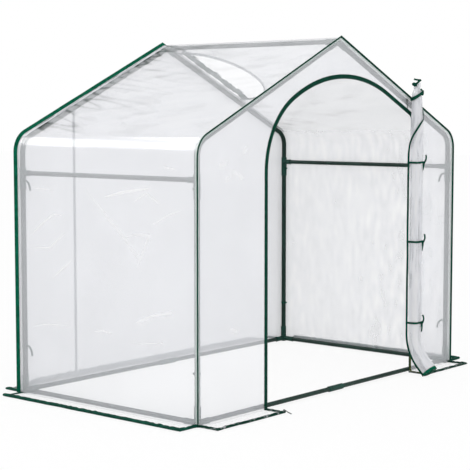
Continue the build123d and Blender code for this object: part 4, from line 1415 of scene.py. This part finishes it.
class GREENHOUSE_OT_door_ties(bpy.types.Operator):
    """Makes the ties round the rolled door, with their knots, tails and the bow at the top"""

    bl_idname = "greenhouse.door_ties"
    bl_label = "Door ties"

    def execute(self, context):
        z = sizes()
        self.middle = np.array((z.roll_x, z.roll_y, 0.0))
        self.face = self.toward(ROLL_FACE)
        self.right = self.toward(ROLL_FACE + 90.0)
        *lower, top = tie_heights()
        pieces = []
        for number, height in enumerate(lower):
            pieces += self.tie(f"tie_{number}", height, number)
        pieces += self.top_tie(top)
        finish(joined("door_tie_ribbons", pieces), surfaces()["tie"], "tie_green", "door_ties")
        return {"FINISHED"}

    def toward(self, degrees):
        """A level direction, in degrees from the gable's right."""
        angle = math.radians(degrees)
        return np.array((math.cos(angle), math.sin(angle), 0.0))

    def ring(self, name, height, first, last, tilt, width, lead=()):
        """A ribbon round the roll between two directions, tilted up to the right."""
        degrees = np.radians(np.linspace(first, last, 44))
        out = np.column_stack((np.cos(degrees), np.sin(degrees), np.zeros(44)))
        radius = float(roll_girth(np.array([height]))[0]) + TIE_SEAT
        rise = height + tilt * radius * (out @ self.right) + 0.0008 * np.sin(3 * degrees)
        line = self.middle + out * radius + rise[:, None] * UP
        if len(lead):
            line = np.vstack((drawn([*lead, line[0]], 10)[:-1], line))
        edge = UP * width / 2
        return band(name, line - edge, line + edge, 2, sizes().tie_thick)

    def tie(self, name, height, number):
        """One tie: sewn to the doorway's tape, once round the roll, knotted on its right."""
        z = sizes()
        level = height * UP
        knotted = self.middle + self.toward(302.0) * (z.roll_radius + KNOT_SEAT) + level
        root = np.array((z.door_right + 0.008, -z.depth / 2 - z.tape_thick - 0.0012, height))
        bend = self.middle + self.toward(40.0) * (z.roll_radius + 0.006) + level
        landing = self.middle + self.toward(350.0) * (z.roll_radius + KNOT_SEAT) + level
        strap = drawn([root, bend, landing], 12)
        edge = UP * z.tie / 2
        lean = 0.003 * (number - 1)
        up = [
            knotted, knotted + 0.014 * self.right + 0.010 * UP,
            knotted + (0.006 + lean) * self.right + 0.034 * UP,
        ]
        down = [
            knotted, knotted + 0.010 * self.face - 0.016 * UP,
            knotted + 0.006 * self.face - (0.006 + lean) * self.right - 0.042 * UP,
        ]
        long = [
            knotted, knotted + 0.012 * self.face - 0.004 * self.right - 0.010 * UP,
            knotted + 0.012 * self.face - (0.022 - lean) * self.right - 0.034 * UP,
            knotted + 0.013 * self.face - 0.026 * self.right - 0.066 * UP,
        ]
        width = 0.8 * z.tie
        free = self.middle + (FREE_EDGE + 0.001) * self.toward(ROLL_LEFT) + 0.0125 * self.face + level
        pull = self.middle + (z.roll_radius + KNOT_SEAT) * self.toward(ROLL_LEAVE)
        pull = pull + FLANGE_PULL * self.toward(ROLL_LEAVE - 90.0) + level
        return [
            self.ring(f"{name}_ring", height, ROLL_LEAVE, 352.0, 0.0, z.tie, [free, pull]),
            band(f"{name}_strap", strap - edge, strap + edge, 2, z.tie_thick),
            knot(f"{name}_knot", knotted, 0.0062, 0.0026),
            ribbon(f"{name}_up", drawn(up, 12), self.face, width),
            ribbon(f"{name}_down", drawn(down, 14), self.face, width),
            ribbon(f"{name}_long", drawn(long, 18), self.face, width),
        ]

    def top_tie(self, height):
        """The top tie: a tilted turn with a bow that gathers the roll's upper end."""
        z = sizes()
        top = self.middle + self.face * 0.016 - self.right * 0.010 + (z.roll_top + 0.008) * UP

        def reach(steps):
            places = [top + along * self.right + up * UP + out * self.face for along, up, out in steps]
            return drawn(places, 22)

        lean = self.face + 0.6 * UP
        return [
            self.ring("top_ring", height + 0.005, 100.0, 460.0, 0.6, z.top_tie),
            knot("bow_knot", top, 0.0056, 0.0024),
            ribbon("bow_loop", reach(BOW_LOOP), lean, z.tie),
            ribbon("bow_rise", reach(BOW_RISE), lean, z.tie),
            ribbon("bow_end", reach(BOW_END), lean, z.tie),
            ribbon("bow_side", reach(BOW_SIDE), self.face, 0.8 * z.tie),
        ]


# Vent: where the ties are on its roll, the roll's turns and stand-off from the film, and the tapes
VENT_TIE_SHARES = (0.16, 0.5, 0.86)
VENT_TURNS = 4.6
VENT_ROLL_SEAT = 0.0016
VENT_TAPE_HALF_HIGH, VENT_TAPE_SEAT, VENT_TAPE_STEP = 0.005, 0.0046, 0.007
VENT_ROLL_TAPE_THICK = 0.0014


class GREENHOUSE_OT_vent(bpy.types.Operator):
    """Makes the vent's tape and its rolled-up flap with its ties"""

    bl_idname = "greenhouse.vent"
    bl_label = "Vent"

    def execute(self, context):
        self.tape()
        self.roll()
        self.ties()
        return {"FINISHED"}

    def tape(self):
        """The rounded tape along the vent's curved edge."""
        z = sizes()
        outline = vent_outline(z.vent_tape / 2, VENT_TAPE_STEP)
        line = on_slope(outline[:, 0], outline[:, 1], np.full(len(outline), VENT_TAPE_SEAT))
        along = unit(np.gradient(line, axis=0))
        up = slope_normal()
        flat = unit(np.cross(along, up)) * z.vent_tape / 2
        piece = bead("vent_tape", line, flat, up * VENT_TAPE_HALF_HIGH, 10)
        finish(piece, surfaces()["trim"], "trim_green", "vent_edge_tape")

    def axis(self, share):
        """A place on the roll's axis, from its upper end to its lower one."""
        z = sizes()
        high = z.vent_down - z.vent_radius - z.vent_roll_rise
        low = z.vent_down + z.vent_radius + z.vent_roll_reach
        down = high + (low - high) * np.asarray(share, float)
        sag = 0.0016 * np.sin(9.0 * down)
        y = z.depth / 2 - z.vent_edge - z.vent_roll_set + sag
        return on_slope(down, y, np.full(np.shape(down), VENT_ROLL_SEAT + z.vent_roll))

    def across(self, turn):
        """Directions out from the roll's axis."""
        up = slope_normal()
        return np.cos(turn)[:, None] * np.array((0.0, 1.0, 0.0)) + np.sin(turn)[:, None] * up

    def girth(self, share, turn, seed):
        """Radius of the roll: lumpy, drawn in under the ties."""
        lumps = 0.55 * ripple(share, turn, seed, 21.0, 0.9)
        lumps = lumps + 1.1 * np.abs(ripple(share, turn, seed + 5.0, 30.0, 1.1))
        radius = sizes().vent_roll * np.maximum(0.95 + lumps, 0.55)
        for tied in VENT_TIE_SHARES:
            radius = radius - 0.0022 * swell(share - tied, 0.02)
        return radius * (1.0 - 0.2 * np.exp(-share / 0.02) - 0.2 * np.exp(-(1 - share) / 0.02))

    def roll(self):
        """The rolled-up flap, and the tape of its curved edge wound round it."""
        z = sizes()
        run = z.vent_roll_rise + 2 * z.vent_radius + z.vent_roll_reach

        def turns(u, v):
            turn = 2 * math.pi * VENT_TURNS * u + 0.6
            radius = self.girth(v, turn, 4.0) * (1.0 - 0.6 * u) - 0.0008
            return (self.axis(v) + self.across(turn) * radius[:, None]).T

        film = laid_grid("vent_roll_film", 104, 110, turns, run, 0.18)
        thicken(film, z.film)
        finish(film, surfaces()["film"], "clear_film", "vent_flap_roll")

        def edge(u, v):
            reach = 0.72 + 0.2 * ripple(v, v, 9.0, 11.0, 0.0)
            turn = math.pi * (1.0 + 2.0 * reach * (u - 0.5)) + 0.8 * np.sin(9.0 * v)
            radius = self.girth(v, turn, 4.0) + 0.0008
            return (self.axis(v) + self.across(turn) * radius[:, None]).T

        tape = laid_grid("vent_roll_tape", 16, 160, edge, run, 0.04)
        thicken(tape, VENT_ROLL_TAPE_THICK)
        finish(tape, surfaces()["trim"], "trim_green", "vent_flap_roll")

    def ties(self):
        """The ties round the vent's roll, each with a knot and two tails."""
        z = sizes()
        along = unit(self.axis([1.0])[0] - self.axis([0.0])[0])
        up = self.across(np.array([math.pi / 2]))[0]
        turn = np.linspace(0.0, 2 * math.pi, 33)
        pieces = []
        for number, share in enumerate(VENT_TIE_SHARES):
            centre = self.axis([share])[0]
            line = centre + self.across(turn) * (z.vent_roll - 0.0012)
            edge = along * z.tie / 2
            knotted = centre + up * (z.vent_roll + 0.002)
            pieces.append(band(f"vent_tie_{number}", line - edge, line + edge, 2, z.tie_thick))
            pieces.append(knot(f"vent_knot_{number}", knotted, 0.0075, 0.003))
            for name, way in (("a", -1.0), ("b", 1.0)):
                bend = knotted + way * 0.012 * along + 0.010 * up
                tip = knotted + way * 0.020 * along + np.array((0.0, -0.020, 0.0)) - 0.004 * up
                tail = drawn([knotted, bend, tip], 12)
                pieces.append(ribbon(f"vent_tail_{number}{name}", tail, up, 0.7 * z.tie))
        finish(joined("vent_tie_ribbons", pieces), surfaces()["tie"], "tie_green", "vent_ties")


# Ribbons on the posts: the loop's radius, half width and thickness, the knot's place, and a loose end's curl
POST_LOOP, POST_LOOP_HALF, POST_LOOP_THICK = 0.0124, 0.0035, 0.001
POST_KNOT = 0.0155
POST_CURL = ((0.0, 0.0), (0.012, 0.003), (0.026, -0.010), (0.030, -0.039))
HANGING_POSTS = ("back_left", "front_right")


class GREENHOUSE_OT_post_ribbons(bpy.types.Operator):
    """Makes the ribbons that tie the cover to the posts, their ends curling down inside"""

    bl_idname = "greenhouse.post_ribbons"
    bl_label = "Post ribbons"

    def execute(self, context):
        pieces = []
        for post in ("front_left", "front_right", "back_left", "back_right"):
            low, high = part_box(f"{post}_post")
            middle = np.array(((low.x + high.x) / 2, (low.y + high.y) / 2))
            inward = np.array((0.0, -math.copysign(1.0, middle[1]), 0.0))
            for level in (sizes().ribbon_low, sizes().ribbon_high):
                hangs = post in HANGING_POSTS
                pieces += self.ribbon(f"{post}_{len(pieces)}", np.append(middle, level), inward, hangs)
        finish(joined("post_ribbon_ends", pieces), surfaces()["tie"], "tie_green", "post_ribbons")
        return {"FINISHED"}

    def ribbon(self, name, centre, inward, hangs):
        """A loop round the post with a knot, and an end that curls down where it hangs free."""
        z = sizes()
        turn = np.linspace(0.0, 2 * math.pi, 33)
        line = centre + POST_LOOP * np.column_stack((np.cos(turn), np.sin(turn), np.zeros(33)))
        edge = UP * POST_LOOP_HALF
        knotted = centre + POST_KNOT * inward
        pieces = [
            band(f"{name}_loop", line - edge, line + edge, 2, POST_LOOP_THICK),
            knot(f"{name}_knot", knotted, 0.0046, 0.002),
        ]
        if hangs:
            end = drawn([knotted + along * inward + up * UP for along, up in POST_CURL], 16)
            pieces.append(ribbon(f"{name}_end", end, np.array((-0.76, -0.65, 0.3)), 0.9 * z.tie))
        return pieces


# Share of the floor's look that is plain white to the camera
FLOOR_GLOW = 0.86

# Camera: sensor width in mm, focal length as a share of the picture's width, place, and bearings in degrees
SENSOR = 36.0
FOCAL_SHARE = 1368.54 / 470.0
CAMERA_PLACE = (-4.6896, -3.8980, 1.18094)
CAMERA_AZIMUTH, CAMERA_ELEVATION = -49.741, 5.0508


class GREENHOUSE_OT_stage(bpy.types.Operator):
    """Sets up the floor, the soft lights and the camera"""

    bl_idname = "greenhouse.stage"
    bl_label = "Stage"

    def execute(self, context):
        self.floor()
        self.world()
        self.lamps()
        self.camera()
        scene = context.scene
        scene.view_settings.view_transform = "Standard"
        scene.cycles.transparent_max_bounces = 96
        return {"FINISHED"}

    def seen(self, tree):
        """1 for what the camera, a reflection or glass sees, 0 for light that falls on things."""
        path = tree.nodes.new("ShaderNodeLightPath")
        total = path.outputs["Is Camera Ray"]
        for name in ("Is Glossy Ray", "Is Transmission Ray"):
            node = tree.nodes.new("ShaderNodeMath")
            node.operation = "MAXIMUM"
            tree.links.new(total, node.inputs[0])
            tree.links.new(path.outputs[name], node.inputs[1])
            total = node.outputs[0]
        return total

    def floor(self):
        """A wide pale floor that keeps the object's shadow."""
        bpy.ops.object.select_all(action="DESELECT")
        bpy.ops.mesh.primitive_plane_add(size=60.0, location=(0.0, 0.0, -0.0005))
        floor = bpy.context.object
        floor.name = "floor"
        made, tree, shader = surface("pale_floor", colours().floor, 0.9)
        shader.inputs["Specular IOR Level"].default_value = 0.0
        glow = tree.nodes.new("ShaderNodeEmission")
        mix = tree.nodes.new("ShaderNodeMixShader")
        share = tree.nodes.new("ShaderNodeMath")
        share.operation = "MULTIPLY"
        share.inputs[1].default_value = FLOOR_GLOW
        tree.links.new(self.seen(tree), share.inputs[0])
        tree.links.new(share.outputs[0], mix.inputs["Fac"])
        tree.links.new(shader.outputs["BSDF"], mix.inputs[1])
        tree.links.new(glow.outputs["Emission"], mix.inputs[2])
        tree.links.new(mix.outputs["Shader"], tree.nodes["Material Output"].inputs["Surface"])
        floor.data.materials.append(made)

    def world(self):
        """Even white light from all round."""
        world = bpy.data.worlds.new("studio")
        bpy.context.scene.world = world
        world.use_nodes = True
        white = world.node_tree.nodes["Background"]
        white.inputs["Color"].default_value = (1.0, 1.0, 1.0, 1.0)
        white.inputs["Strength"].default_value = 1.0

    def lamps(self):
        """Two lamps whose shine shows on the eave, and a soft key lamp."""
        self.lamp("eave_shine", (-3.3, 4.3, 4.2), (-0.85, 0.0, 1.05), (4.6, 2.2), 330.0, shine_only=True)
        self.lamp(
            "front_eave_shine", (-1.4, 3.0, 4.9), (-0.85, -0.45, 1.1), (2.3, 0.75), 60.0, shine_only=True,
        )
        self.lamp("key", (-4.0, -3.2, 4.6), (0.0, 0.0, 0.7), (2.6, 2.6), 60.0)

    def lamp(self, name, place, target, size, power, shine_only=False):
        """A soft rectangular lamp; one for shine only shows in reflections and lights nothing else."""
        data = bpy.data.lights.new(name, "AREA")
        data.shape = "RECTANGLE"
        data.size, data.size_y = size
        data.energy = power
        lamp = bpy.data.objects.new(name, data)
        lamp.location = place
        lamp.rotation_mode = "QUATERNION"
        lamp.rotation_quaternion = (Vector(target) - Vector(place)).to_track_quat("-Z", "Y")
        lamp.visible_diffuse = not shine_only
        lamp.visible_transmission = not shine_only
        bpy.context.collection.objects.link(lamp)

    def camera(self):
        """The camera, from the front left and a little above the eave."""
        data = bpy.data.cameras.new("camera")
        data.sensor_width = SENSOR
        data.lens = SENSOR * FOCAL_SHARE
        camera = bpy.data.objects.new("camera", data)
        az, el = math.radians(CAMERA_AZIMUTH), math.radians(CAMERA_ELEVATION)
        back = Vector((math.sin(az) * math.cos(el), -math.cos(az) * math.cos(el), math.sin(el)))
        right = Vector((math.cos(az), math.sin(az), 0.0))
        up = back.cross(right)
        turned = Matrix((right, up, back)).transposed().to_4x4()
        camera.matrix_world = Matrix.Translation(CAMERA_PLACE) @ turned
        bpy.context.collection.objects.link(camera)
        bpy.context.scene.camera = camera


PIECES = (
    GREENHOUSE_OT_frame_finish,
    GREENHOUSE_OT_side_sheets,
    GREENHOUSE_OT_gable_films,
    GREENHOUSE_OT_gable_bindings,
    GREENHOUSE_OT_doorway_tape,
    GREENHOUSE_OT_ground_flaps,
    GREENHOUSE_OT_door_roll,
    GREENHOUSE_OT_door_ties,
    GREENHOUSE_OT_vent,
    GREENHOUSE_OT_post_ribbons,
    GREENHOUSE_OT_stage,
)


class GREENHOUSE_PT_panel(bpy.types.Panel):
    """Lists the greenhouse's pieces in the sidebar"""

    bl_idname = "GREENHOUSE_PT_panel"
    bl_label = "Greenhouse"
    bl_space_type = "VIEW_3D"
    bl_region_type = "UI"
    bl_category = "Greenhouse"

    def draw(self, context):
        for piece in PIECES:
            self.layout.operator(piece.bl_idname)
        for group in (context.scene.greenhouse_sizes, context.scene.greenhouse_colours):
            for name in group.__annotations__:
                self.layout.prop(group, name)


CLASSES = (GreenhouseSizes, GreenhouseColours, *PIECES, GREENHOUSE_PT_panel)


def register():
    """Registers the classes and hangs the sizes and colours on the scene."""
    for cls in CLASSES:
        bpy.utils.register_class(cls)
    bpy.types.Scene.greenhouse_sizes = bpy.props.PointerProperty(type=GreenhouseSizes)
    bpy.types.Scene.greenhouse_colours = bpy.props.PointerProperty(type=GreenhouseColours)


def unregister():
    """Takes back what register did."""
    del bpy.types.Scene.greenhouse_colours
    del bpy.types.Scene.greenhouse_sizes
    for cls in reversed(CLASSES):
        bpy.utils.unregister_class(cls)


def main():
    """Makes every piece in order."""
    register()
    bpy.ops.object.select_all(action="DESELECT")
    for piece in PIECES:
        group, name = piece.bl_idname.split(".")
        getattr(getattr(bpy.ops, group), name)()


if __name__ == "__main__":
    main()
